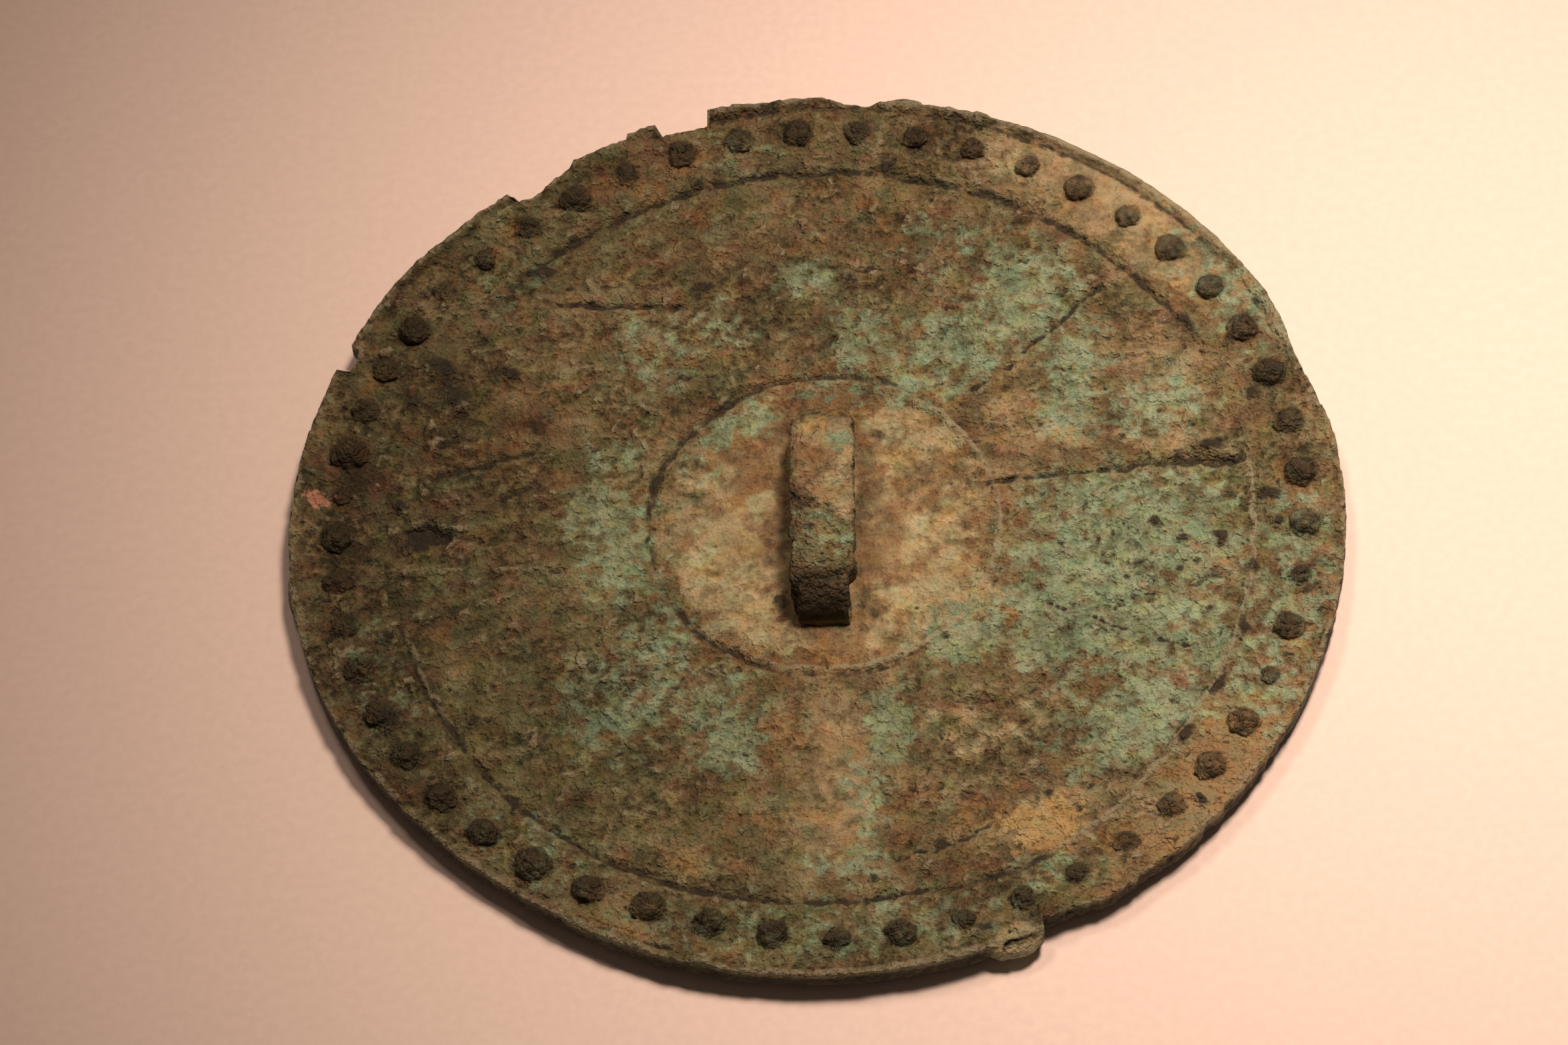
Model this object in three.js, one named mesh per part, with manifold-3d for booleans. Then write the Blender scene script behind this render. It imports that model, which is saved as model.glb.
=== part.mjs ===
// Ancient cast bronze mirror, lying on its reflecting face with the decorated back up.
//
// The back carries a bridge loop for a cord, two raised string rings, four double-lined
// spokes, a leaf with a midrib and fine veins in each quarter, and a ring of small bosses
// inside a narrow lip.  It is one casting, so it is one solid.
//
// Millimetres.  +Z up, +Y along the loop, +X across it.  Angles are in degrees, turning
// from +X towards +Y.  Origin: middle of the flat patch under the reflecting face.

import * as THREE from 'three';
import { mergeVertices } from 'three/addons/utils/BufferGeometryUtils.js';
import Module from 'manifold-3d';

// ---------------------------------------------------------------- driving dimensions

// Plate: a thin disc, slightly bowed so that its rim stands clear of the table.
const MIRROR_RADIUS = 62.5;
const FLAT_PATCH_RADIUS = 20;
const RIM_LIFT = 0.8;
const FIELD_THICKNESS = 2.2;
const BAND_THICKNESS = 2.5;
const RIM_THICKNESS = 3.0;
const DISC_SINK = 0.15;
const EDGE_ROUNDING = 1.4;
const PLATE_SIDES = 96;

// Lip and string rings, each a narrow flat-topped ridge.
const LIP_WIDTH = 1.1;
const LIP_HEIGHT = 0.5;
const OUTER_RING_RADIUS = 51.9;
const INNER_RING_RADIUS = 20.7;
const RING_WIDTH = 1.3;
const RING_HEIGHT = 0.5;

// Ring of bosses, set by eye: they crowd, spread and stray a little round the band.
const BOSS_COUNT = 51;
const BOSS_CIRCLE_RADIUS = 57.6;
const FIRST_BOSS_ANGLE = 92.7;
const BOSS_RADIUS = 1.85;
const BOSS_HEIGHT = 1.35;
const BOSS_SIDES = 7;
// Half section of a boss, as shares of its foot radius and of its height.
const BOSS_PROFILE = [[1, -0.4], [0.92, 0.35], [0.55, 0.86], [0, 1]];
// How far the bosses lag behind even spacing, in degrees: an offset and three slow waves.
const BOSS_LAG = -2.9;
const BOSS_LAG_WAVES = [
  { turns: 1, reach: 2.8, peak: 87 },
  { turns: 2, reach: 1.4, peak: -53 },
  { turns: 3, reach: 0.64, peak: 36 },
];
// Where the circle of bosses sags inwards or swells outwards.
const BOSS_STRAYS = [
  { at: -108, spread: 15, reach: -1.6 },
  { at: 128, spread: 20, reach: -0.7 },
];
// Worn, faint, small and large bosses, by their place in the ring.
const UNEVEN_BOSSES = new Map([
  [1, 0.8], [2, 0.7], [3, 0.6], [4, 0.65], [6, 0.7], [8, 0.85], [10, 1.15],
  [12, 1.15], [14, 0.5], [16, 0.4], [19, 0.75], [20, 0.6], [21, 0.6], [22, 0.6],
  [23, 0.55], [25, 0.7], [28, 1.15], [30, 1.5], [36, 0.75], [39, 0.4],
  [40, 1.45], [41, 0.85], [42, 0.85], [43, 1.15], [44, 0.6], [45, 0.5], [46, 0.7],
  [48, 0.6], [50, 0.9],
]);

// Spokes and leaves on the field between the two rings.
const SPOKE_ANGLES = [0, 90, 180, 270];
const SPOKE_HALF_WIDTH = 5.0;
// Each leaf: its midrib, the headings of the veins before and after it, and how fresh it is.
const LEAVES = [
  { midrib: 44, before: -12, after: 76, freshness: 1 },
  { midrib: 128, before: 52, after: 182, freshness: 0.9 },
  { midrib: 226, before: 188, after: 256, freshness: 0.7 },
  { midrib: 315, before: 238, after: 18, freshness: 0.8 },
];
const VEINS_PER_SIDE = 5;
const VEIN_INNER_RADIUS = 26;
const VEIN_OUTER_RADIUS = 47;
const VEIN_LENGTH = 12;
const SPOKE_RELIEF = 0.32;
const MIDRIB_RELIEF = 0.4;
const VEIN_RELIEF = 0.25;
const RIDGE_WIDTH = 0.9;

// Bridge loop: a flat strap bent over a gap for the cord.
const LOOP_WIDTH = 7.6;
const LOOP_HEIGHT = 8.2;
const LOOP_HALF_LENGTH = 15.0;
const GAP_HEIGHT = 5.4;
const GAP_HALF_LENGTH = 11.4;
const LOOP_SQUARENESS = 2.6;
const LOOP_EDGE_ROUNDING = 0.6;
const LOOP_STEPS = 16;

// Slow swellings and hollows of the outline, from uneven casting and corrosion.
const OUTLINE_SWELLS = [
  { at: 180, spread: 30, reach: 0.8 },
  { at: 234, spread: 20, reach: -1.0 },
  { at: 19, spread: 6, reach: -1.1 },
  { at: 145, spread: 7, reach: 0.5 },
];
// Breaks in the edge: the line that is left, as angle and depth below the outline.
const EDGE_BREAKS = [
  [[102.7, 1.7], [105.6, 1.9], [108.8, 1.5]],
  [[112.3, 0.6], [119, 0.7], [122.5, 1.5], [125.5, 2.3], [127.5, 1.9]],
  [[81.8, 0.1], [84.2, 1.1], [86.8, 1.0], [89.2, 0.1]],
  [[154.4, 0.9], [156.2, 1.6], [157.9, 1.3]],
  [[294.6, 1.3], [298.5, 0.9], [302, 0.1]],
];
// Crusts that stand out past the edge.
const EDGE_LUMPS = [
  { at: 79.7, length: 4.2, reach: 1.1, low: 1.4, high: 4.1 },
  { at: 92.9, length: 3.4, reach: 1.0, low: 1.3, high: 3.9 },
  { at: 39.4, length: 2.6, reach: 0.7, low: 1.6, high: 4.0 },
  { at: 187.6, length: 4.6, reach: 0.6, low: 1.3, high: 3.8 },
  { at: 291.2, length: 6.4, reach: 1.6, low: 1.1, high: 3.5 },
];
// Corrosion pit on the left spoke.
const PIT = { x: -46.3, y: 0.2, length: 6.4, width: 2.6, depth: 1.0, turn: -12 };

// Room for the shapes to run into each other where they are joined or cut.
const OVERLAP = 0.6;
// How far the cutters of the broken edge reach past the outline.
const CUTTER_REACH = 4;

// ---------------------------------------------------------------- booleans

const wasm = await Module();
wasm.setup();

/** A closed geometry as a solid: shared corners merged, collapsed faces dropped. */
function solidFrom(geometry) {
  const bare = geometry.clone();
  bare.deleteAttribute('normal');
  bare.deleteAttribute('uv');
  const merged = mergeVertices(bare, 1e-4);
  const corners = merged.index.array;
  const kept = [];
  for (let i = 0; i < corners.length; i += 3) {
    const [a, b, c] = corners.slice(i, i + 3);
    if (a !== b && b !== c && c !== a) {
      kept.push(a, b, c);
    }
  }
  return new wasm.Manifold(new wasm.Mesh({
    numProp: 3,
    vertProperties: Float32Array.from(merged.attributes.position.array),
    triVerts: Uint32Array.from(kept),
  }));
}

/** A solid as an indexed geometry. */
function geometryFrom(solid) {
  const mesh = solid.getMesh();
  const geometry = new THREE.BufferGeometry();
  geometry.setAttribute('position', new THREE.BufferAttribute(mesh.vertProperties, 3));
  geometry.setIndex(new THREE.BufferAttribute(mesh.triVerts, 1));
  geometry.computeVertexNormals();
  return geometry;
}

/** All the given solids joined into one. */
function joined(solids) {
  return solids.reduce((whole, solid) => whole.add(solid));
}

// ---------------------------------------------------------------- shared shapes

const radians = THREE.MathUtils.degToRad;

/** The smallest turn from one angle to another, between -180 and 180 degrees. */
function turnBetween(from, to) {
  return THREE.MathUtils.euclideanModulo(to - from + 180, 360) - 180;
}

/** Sum of the soft humps of a list at one angle, each with its place, spread and reach. */
function humpsAt(angle, humps) {
  return humps.reduce((sum, hump) => {
    const away = turnBetween(hump.at, angle) / hump.spread;
    return sum + hump.reach * Math.exp(-away * away);
  }, 0);
}

/** Height of the bowed face above the table at a distance from the centre. */
function faceHeight(radius) {
  const beyond = Math.max(0, radius - FLAT_PATCH_RADIUS);
  return RIM_LIFT * (beyond / (MIRROR_RADIUS - FLAT_PATCH_RADIUS)) ** 2;
}

/** Height of the back's bare surface, without rings, lip or bosses. */
function backHeight(radius) {
  if (radius < INNER_RING_RADIUS) {
    return faceHeight(radius) + FIELD_THICKNESS - DISC_SINK;
  }
  if (radius < OUTER_RING_RADIUS) {
    return faceHeight(radius) + FIELD_THICKNESS;
  }
  const across = (radius - OUTER_RING_RADIUS) / (MIRROR_RADIUS - OUTER_RING_RADIUS);
  const thickness = THREE.MathUtils.lerp(BAND_THICKNESS, RIM_THICKNESS, Math.min(1, across));
  return faceHeight(radius) + thickness;
}

/** A point on the plan at an angle and a distance from the centre. */
function planPoint(angle, radius) {
  return new THREE.Vector2(radius * Math.cos(radians(angle)), radius * Math.sin(radians(angle)));
}

// ---------------------------------------------------------------- plate

/** The profile of a string ring: its outer foot, its crest and its inner foot. */
function ringProfile(radius) {
  const outerFoot = radius + RING_WIDTH / 2;
  const innerFoot = radius - RING_WIDTH / 2;
  return [
    [outerFoot, backHeight(outerFoot)],
    [radius, backHeight(outerFoot) + RING_HEIGHT],
    [innerFoot, backHeight(innerFoot)],
  ];
}

/** Half section of the plate, from the middle of the face round the edge to the back. */
function plateProfile() {
  const midFace = (FLAT_PATCH_RADIUS + MIRROR_RADIUS) / 2;
  const midField = (INNER_RING_RADIUS + OUTER_RING_RADIUS) / 2;
  const faceEdge = MIRROR_RADIUS - EDGE_ROUNDING;
  const lipTop = backHeight(MIRROR_RADIUS) + LIP_HEIGHT;
  const lipFoot = MIRROR_RADIUS - LIP_WIDTH - LIP_HEIGHT;
  const points = [
    [0, 0],
    [FLAT_PATCH_RADIUS, 0],
    [midFace, faceHeight(midFace)],
    [faceEdge, faceHeight(faceEdge)],
    [MIRROR_RADIUS - EDGE_ROUNDING / 4, faceHeight(MIRROR_RADIUS) + EDGE_ROUNDING / 3],
    [MIRROR_RADIUS, faceHeight(MIRROR_RADIUS) + EDGE_ROUNDING],
    [MIRROR_RADIUS, lipTop - LIP_HEIGHT],
    [MIRROR_RADIUS - LIP_WIDTH / 2, lipTop],
    [MIRROR_RADIUS - LIP_WIDTH, lipTop],
    [lipFoot, backHeight(lipFoot)],
    ...ringProfile(OUTER_RING_RADIUS),
    [midField, backHeight(midField)],
    ...ringProfile(INNER_RING_RADIUS),
    [0, backHeight(0)],
  ];
  return points.map(([radius, height]) => new THREE.Vector2(radius, height));
}

/** The turned plate, its outer part eased in and out to the uneven outline. */
function plate() {
  const geometry = new THREE.LatheGeometry(plateProfile(), PLATE_SIDES).rotateX(Math.PI / 2);
  const position = geometry.attributes.position;
  for (let i = 0; i < position.count; i += 1) {
    const spot = new THREE.Vector2(position.getX(i), position.getY(i));
    const share = THREE.MathUtils.smoothstep(spot.length(), OUTER_RING_RADIUS + 2, MIRROR_RADIUS - 2);
    if (share > 0) {
      const angle = THREE.MathUtils.radToDeg(spot.angle());
      spot.setLength(spot.length() + share * humpsAt(angle, OUTLINE_SWELLS));
      position.setXY(i, spot.x, spot.y);
    }
  }
  return solidFrom(geometry);
}

/** Material missing along one broken stretch of the edge. */
function edgeBreak(line) {
  const outline = (angle) => MIRROR_RADIUS + humpsAt(angle, OUTLINE_SWELLS);
  const left = line.map(([angle, depth]) => planPoint(angle, outline(angle) - depth));
  const outside = line.map(([angle]) => planPoint(angle, MIRROR_RADIUS + CUTTER_REACH)).reverse();
  const height = RIM_LIFT + RIM_THICKNESS + LIP_HEIGHT + 2 * OVERLAP;
  const geometry = new THREE.ExtrudeGeometry(new THREE.Shape([...left, ...outside]), {
    depth: height,
    bevelEnabled: false,
  });
  return solidFrom(geometry.translate(0, 0, -OVERLAP));
}

/** One crust on the edge: a blunt pillow, half sunk in the rim. */
function edgeLump({ at, length, reach, low, high }) {
  const outline = MIRROR_RADIUS + humpsAt(at, OUTLINE_SWELLS);
  const depth = reach + OVERLAP * 2;
  const geometry = new THREE.SphereGeometry(1, 8, 5)
    .rotateX(Math.PI / 2)
    .scale(depth, length / 2, (high - low) / 2)
    .translate(outline + reach - depth, 0, (high + low) / 2)
    .rotateZ(radians(at));
  return solidFrom(geometry);
}

/** The hollow of the corrosion pit, a stretched ball sunk in the field. */
function pitHollow() {
  const surface = backHeight(Math.hypot(PIT.x, PIT.y));
  const geometry = new THREE.SphereGeometry(1, 10, 6)
    .rotateX(Math.PI / 2)
    .scale(PIT.length / 2, PIT.width / 2, PIT.depth)
    .rotateZ(radians(PIT.turn))
    .translate(PIT.x, PIT.y, surface);
  return solidFrom(geometry);
}

// ---------------------------------------------------------------- bosses

/** Angle of one boss, counted clockwise from the first. */
function bossAngle(index) {
  const even = FIRST_BOSS_ANGLE - (index * 360) / BOSS_COUNT;
  const waves = BOSS_LAG_WAVES.map(
    ({ turns, reach, peak }) => reach * Math.cos(turns * radians(even - peak)),
  );
  return even + BOSS_LAG + waves.reduce((sum, wave) => sum + wave);
}

/** One boss: a low blunt nipple of its own size, its foot sunk in the band. */
function boss(index) {
  const size = UNEVEN_BOSSES.get(index) ?? 1;
  const angle = bossAngle(index);
  const radius = BOSS_CIRCLE_RADIUS + humpsAt(angle, BOSS_STRAYS);
  const foot = BOSS_RADIUS * Math.sqrt(size);
  const height = BOSS_HEIGHT * size;
  const [[, sunk]] = BOSS_PROFILE;
  const profile = [[0, sunk], ...BOSS_PROFILE].map(
    ([across, up]) => new THREE.Vector2(across * foot, up * height),
  );
  const place = planPoint(angle, radius);
  const geometry = new THREE.LatheGeometry(profile, BOSS_SIDES)
    .rotateX(Math.PI / 2)
    .rotateZ(radians(angle))
    .translate(place.x, place.y, backHeight(radius));
  return solidFrom(geometry);
}

// ---------------------------------------------------------------- spokes and leaves

/** A low roof-shaped ridge laid on the field between two plan points. */
function ridge(start, end, relief) {
  const roof = new THREE.Shape([
    new THREE.Vector2(-RIDGE_WIDTH / 2, -OVERLAP),
    new THREE.Vector2(RIDGE_WIDTH / 2, -OVERLAP),
    new THREE.Vector2(RIDGE_WIDTH / 2, 0),
    new THREE.Vector2(0, relief),
    new THREE.Vector2(-RIDGE_WIDTH / 2, 0),
  ]);
  const from = new THREE.Vector3(start.x, start.y, backHeight(start.length()));
  const to = new THREE.Vector3(end.x, end.y, backHeight(end.length()));
  const along = to.clone().sub(from);
  const geometry = new THREE.ExtrudeGeometry(roof, { depth: along.length(), bevelEnabled: false });
  const forward = along.normalize();
  const side = new THREE.Vector3(0, 0, 1).cross(forward).normalize();
  const up = forward.clone().cross(side);
  geometry.applyMatrix4(new THREE.Matrix4().makeBasis(side, up, forward).setPosition(from));
  return solidFrom(geometry);
}

/** Distance along a line, offset sideways from the centre, at which it meets a circle. */
function reachOfCircle(offset, radius) {
  return Math.sqrt(radius * radius - offset * offset);
}

/** The two parallel lines of one spoke, from the inner ring to the outer one. */
function spoke(angle) {
  const start = reachOfCircle(SPOKE_HALF_WIDTH, INNER_RING_RADIUS);
  const end = reachOfCircle(SPOKE_HALF_WIDTH, OUTER_RING_RADIUS);
  return [-SPOKE_HALF_WIDTH, SPOKE_HALF_WIDTH].map((offset) => {
    const from = new THREE.Vector2(start, offset).rotateAround(new THREE.Vector2(), radians(angle));
    const to = new THREE.Vector2(end, offset).rotateAround(new THREE.Vector2(), radians(angle));
    return ridge(from, to, SPOKE_RELIEF);
  });
}

/** The parallel veins on one side of a midrib, kept clear of the outer ring. */
function veinsBeside(midribAngle, headingAngle, relief) {
  const heading = planPoint(headingAngle, 1);
  return Array.from({ length: VEINS_PER_SIDE }, (_, i) => {
    const share = (i + 0.5) / VEINS_PER_SIDE;
    const root = THREE.MathUtils.lerp(VEIN_INNER_RADIUS, VEIN_OUTER_RADIUS, share);
    const from = planPoint(midribAngle, root);
    const edge = reachOfCircle(from.cross(heading), OUTER_RING_RADIUS - RING_WIDTH);
    const length = Math.min(VEIN_LENGTH, edge - from.dot(heading));
    return ridge(from, from.clone().addScaledVector(heading, length), relief);
  });
}

/** One leaf: a midrib from ring to ring with fine veins on both sides. */
function leaf({ midrib, before, after, freshness }) {
  const root = planPoint(midrib, INNER_RING_RADIUS);
  const tip = planPoint(midrib, OUTER_RING_RADIUS);
  const relief = VEIN_RELIEF * freshness;
  return [
    ridge(root, tip, MIDRIB_RELIEF * freshness),
    ...veinsBeside(midrib, before, relief),
    ...veinsBeside(midrib, after, relief),
  ];
}

// ---------------------------------------------------------------- loop

/** A squared arch, as points from one foot over the crown to the other. */
function archLine(halfLength, height) {
  return Array.from({ length: LOOP_STEPS + 1 }, (_, i) => {
    const turn = (i / LOOP_STEPS) * Math.PI;
    const across = Math.sign(Math.cos(turn)) * Math.abs(Math.cos(turn)) ** (2 / LOOP_SQUARENESS);
    return new THREE.Vector2(halfLength * across, height * Math.sin(turn) ** (2 / LOOP_SQUARENESS));
  });
}

/** The strap of the loop, standing over the cord gap with both feet sunk in the disc. */
function loop() {
  const rounding = LOOP_EDGE_ROUNDING;
  const outer = archLine(LOOP_HALF_LENGTH - rounding, LOOP_HEIGHT - rounding);
  const inner = archLine(GAP_HALF_LENGTH + rounding, GAP_HEIGHT + rounding).reverse();
  const legs = (line) => {
    const foot = (end) => new THREE.Vector2(end.x, -OVERLAP);
    return [foot(line[0]), ...line, foot(line.at(-1))];
  };
  const depth = LOOP_WIDTH - 2 * rounding;
  const geometry = new THREE.ExtrudeGeometry(new THREE.Shape([...legs(outer), ...legs(inner)]), {
    depth,
    bevelThickness: rounding,
    bevelSize: rounding,
    bevelSegments: 1,
  });
  // The arch is drawn lengthwise and upright, so it is turned to run along Y.
  geometry.translate(0, 0, -depth / 2);
  geometry.rotateX(Math.PI / 2);
  geometry.rotateZ(Math.PI / 2);
  geometry.translate(0, 0, backHeight(0));
  return solidFrom(geometry);
}

// ---------------------------------------------------------------- the casting

/** The whole mirror as one solid. */
function mirrorSolid() {
  const bosses = Array.from({ length: BOSS_COUNT }, (_, index) => boss(index));
  const relief = joined([...bosses, ...SPOKE_ANGLES.flatMap(spoke), ...LEAVES.flatMap(leaf)]);
  const blank = joined([plate(), ...EDGE_LUMPS.map(edgeLump)]);
  const broken = blank.subtract(joined(EDGE_BREAKS.map(edgeBreak)));
  return joined([broken, relief, loop()]).subtract(pitHollow());
}

const bronze = new THREE.MeshStandardMaterial({ color: 0x6e6146, roughness: 0.82, metalness: 0.3 });
const mirror = new THREE.Mesh(geometryFrom(mirrorSolid()), bronze);
mirror.name = 'mirror';

const part = new THREE.Group();
part.add(mirror);

export default part;
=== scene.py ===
"""An ancient cast bronze mirror, lying on its reflecting face with the decorated back up.

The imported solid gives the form.  The casting is made again here from the same sizes, with
its corrosion, worn carving and broken edge, and dressed in patinated bronze.

Sizes are in millimetres until a mesh is made, and Blender's objects are in metres.  +Z is up,
+Y runs along the loop, and angles turn from +X towards +Y, in degrees.
"""

import logging
import math
from collections.abc import Iterable, Sequence
from dataclasses import dataclass
from enum import Enum

import bpy
import numpy as np
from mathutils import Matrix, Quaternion, Vector


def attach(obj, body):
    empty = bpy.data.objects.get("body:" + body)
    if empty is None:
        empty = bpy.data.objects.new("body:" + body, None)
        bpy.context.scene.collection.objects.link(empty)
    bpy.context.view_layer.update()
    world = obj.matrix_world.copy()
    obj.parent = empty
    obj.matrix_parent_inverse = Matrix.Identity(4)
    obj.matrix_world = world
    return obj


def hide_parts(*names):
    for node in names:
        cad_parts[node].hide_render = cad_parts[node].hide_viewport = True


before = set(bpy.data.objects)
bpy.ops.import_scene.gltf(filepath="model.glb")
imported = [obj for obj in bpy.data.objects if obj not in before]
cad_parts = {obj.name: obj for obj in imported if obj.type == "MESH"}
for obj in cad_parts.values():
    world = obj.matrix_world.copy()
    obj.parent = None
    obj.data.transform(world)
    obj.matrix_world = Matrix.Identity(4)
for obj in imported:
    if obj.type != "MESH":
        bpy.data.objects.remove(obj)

Array = np.ndarray
Socket = bpy.types.NodeSocket

MM = 0.001
log = logging.getLogger("mirror")


# ------------------------------------------------------------------ shared tools


class Noise:
    """Smooth noise in space that is the same on every run, between about -1 and 1."""

    gain = 1.8
    layer_step = 17.3

    def __init__(self, seed: int) -> None:
        """Draws the slopes of the noise.

        Args:
            seed: Chooses one pattern of noise.
        """
        rng = np.random.default_rng(seed)
        self.order = np.tile(rng.permutation(256), 2)
        slopes = rng.normal(size=(256, 3))
        self.slopes = slopes / np.linalg.norm(slopes, axis=1, keepdims=True)

    def single(self, points: Array) -> Array:
        """One layer of noise with cells one unit wide.

        Args:
            points: Places to read, one to a row.

        Returns:
            The value at each place.
        """
        cell = np.floor(points).astype(int)
        part = points - cell
        ease = part**3 * (part * (part * 6 - 15) + 10)
        total = np.zeros(len(points))
        for corner in np.ndindex(2, 2, 2):
            spot = (cell + corner) & 255
            pick = self.order[self.order[self.order[spot[:, 0]] + spot[:, 1]] + spot[:, 2]]
            slope = np.einsum("ij,ij->i", self.slopes[pick], part - corner)
            share = np.where(corner, ease, 1 - ease).prod(axis=1)
            total += slope * share
        return total * self.gain

    def layered(self, points: Array, size: float, layers: int = 3, fall: float = 0.55) -> Array:
        """Noise of several sizes laid over each other, each half as big as the one before.

        Args:
            points: Places to read, in millimetres.
            size: Width of the largest lumps, in millimetres.
            layers: How many sizes are added.
            fall: Strength of each layer as a share of the one before.

        Returns:
            The value at each place.
        """
        total = np.zeros(len(points))
        strength = 1.0
        reach = 0.0
        for layer in range(layers):
            total += strength * self.single(points * (2**layer / size) + self.layer_step * layer)
            reach += strength
            strength *= fall
        return total / math.sqrt(reach)


def smooth(value: Array | float, low: float, high: float) -> Array:
    """Eases from 0 at low to 1 at high."""
    share = np.clip((value - low) / (high - low), 0, 1)
    return share * share * (3 - 2 * share)


def polar(radius: float, angle: float) -> tuple[float, float]:
    """The plan point at a distance from the centre and an angle."""
    turn = math.radians(angle)
    return radius * math.cos(turn), radius * math.sin(turn)


def turn_between(start: float, angle: Array) -> Array:
    """The smallest turn from one angle to others, between -180 and 180 degrees."""
    return (angle - start + 180) % 360 - 180


def plan_points(radius: Array | float, angle: Array) -> Array:
    """Plan points at distances from the centre and angles, one to a row."""
    turn = np.radians(angle)
    return np.column_stack([radius * np.cos(turn), radius * np.sin(turn)])


def angle_of(plan: Array) -> Array:
    """The angle at which each plan point is seen from the centre."""
    return np.degrees(np.arctan2(plan[:, 1], plan[:, 0]))


def lifted(plan: Array, height: float = 0.0) -> Array:
    """Plan points with a third coordinate."""
    return np.column_stack([plan, np.full(len(plan), height)])


@dataclass(frozen=True)
class Grit:
    """One kind of unevenness: its depth, the size of its lumps and where its noise is read."""

    depth: float
    size: float
    layers: int
    shift: float = 0.0
    fall: float = 0.55

    def at(self, noise: Noise, points: Array) -> Array:
        """The unevenness at each place."""
        return self.depth * noise.layered(points + self.shift, self.size, self.layers, self.fall)


class NodeBench:
    """A small helper that adds linked nodes to one tree."""

    def __init__(self, tree: bpy.types.NodeTree) -> None:
        """Clears the tree.

        Args:
            tree: The tree to work on.
        """
        self.nodes = tree.nodes
        self.links = tree.links
        self.nodes.clear()

    def add(
        self, kind: str, inputs: dict[str | int, object], **settings: object
    ) -> bpy.types.Node:
        """Adds one node.

        Args:
            kind: The node's type.
            inputs: Values or output sockets for its inputs, by name or number.
            **settings: Properties of the node.

        Returns:
            The node.
        """
        node = self.nodes.new(kind)
        for name, value in settings.items():
            setattr(node, name, value)
        for key, value in inputs.items():
            if isinstance(value, Socket):
                self.links.new(value, node.inputs[key])
            else:
                node.inputs[key].default_value = value
        return node

    def maths(self, operation: str, *values: object) -> Socket:
        """One arithmetic step on numbers or sockets."""
        return self.add("ShaderNodeMath", dict(enumerate(values)), operation=operation).outputs[0]

    def plus(self, value: object, *more: object) -> object:
        """The sum of all the values, added one after the other.

        Args:
            value: The first value, a number or a socket.
            *more: The others.

        Returns:
            The sum, or the first value if it is the only one.
        """
        for other in more:
            value = self.maths("ADD", value, other)
        return value

    def minus(self, one: object, two: object) -> Socket:
        """The first value less the second."""
        return self.maths("SUBTRACT", one, two)

    def times(self, one: object, two: object) -> Socket:
        """The product of two values."""
        return self.maths("MULTIPLY", one, two)


@dataclass(frozen=True)
class Hump:
    """A soft rise at one angle round the mirror."""

    at: float
    spread: float
    reach: float

    def height(self, angle: Array) -> Array:
        """The rise at each angle."""
        return self.reach * np.exp(-((turn_between(self.at, angle) / self.spread) ** 2))


@dataclass(frozen=True)
class Stroke:
    """A line of relief between two plan points: a ridge if it rises, a cut if it sinks."""

    start: tuple[float, float]
    end: tuple[float, float]
    width: float
    rise: float
    taper: tuple[float, float] = (-0.06, 0.12)

    def share(self, plan: Array) -> Array:
        """How fully each plan point lies on the stroke.

        Args:
            plan: Plan points, one to a row.

        Returns:
            1 on the line's middle, falling to 0 beside it and past its ends.
        """
        start = np.array(self.start)
        along = np.array(self.end) - start
        length = float(np.hypot(*along))
        away = plan - start
        place = away @ along / length**2
        beside = (away[:, 0] * along[1] - away[:, 1] * along[0]) / length
        ends = smooth(place, *self.taper) * smooth(1 - place, *self.taper)
        return np.exp(-((beside / self.width) ** 2)) * ends


@dataclass(frozen=True)
class Patch:
    """A soft oval area on the plan."""

    x: float
    y: float
    along: float
    across: float
    turn: float = 0.0
    strength: float = 1.0

    def share(self, plan: Array) -> Array:
        """How fully each plan point lies in the patch.

        Args:
            plan: Plan points, one to a row.

        Returns:
            The patch's strength near its middle, falling softly to 0.
        """
        cosine, sine = math.cos(math.radians(self.turn)), math.sin(math.radians(self.turn))
        east, north = plan[:, 0] - self.x, plan[:, 1] - self.y
        long = (east * cosine + north * sine) / self.along
        short = (north * cosine - east * sine) / self.across
        return self.strength * np.exp(-((long**2 + short**2) ** 1.5))


def patches(*rows: tuple[float, ...]) -> tuple[Patch, ...]:
    """Patches from rows of their numbers."""
    return tuple(Patch(*row) for row in rows)


def strongest(shapes: Iterable[Patch | Stroke], plan: Array) -> Array:
    """The largest share that any of the shapes has at each plan point."""
    shares = [shape.share(plan) for shape in shapes]
    return np.max(shares, axis=0) if shares else np.zeros(len(plan))


def zipped(first: Array, second: Array) -> Array:
    """Triangles between two closed rings of vertices that start at the same angle.

    Args:
        first: Vertex numbers round one ring, or a single vertex.
        second: Vertex numbers round the next ring, or a single vertex.

    Returns:
        Triangles that face away from the ring's axis when the second ring lies outside.
    """
    one, two = len(first), len(second)
    turns_one = (2 * np.arange(one) + 1) * two
    turns_two = (2 * np.arange(two) + 1) * one
    across_one = np.searchsorted(turns_two, turns_one, side="left") % two
    across_two = np.searchsorted(turns_one, turns_two, side="right") % one
    faces = []
    if one > 1:
        faces.append(np.column_stack([first, second[across_one], np.roll(first, -1)]))
    if two > 1:
        faces.append(np.column_stack([second, np.roll(second, -1), first[across_two]]))
    return np.concatenate(faces)


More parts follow.
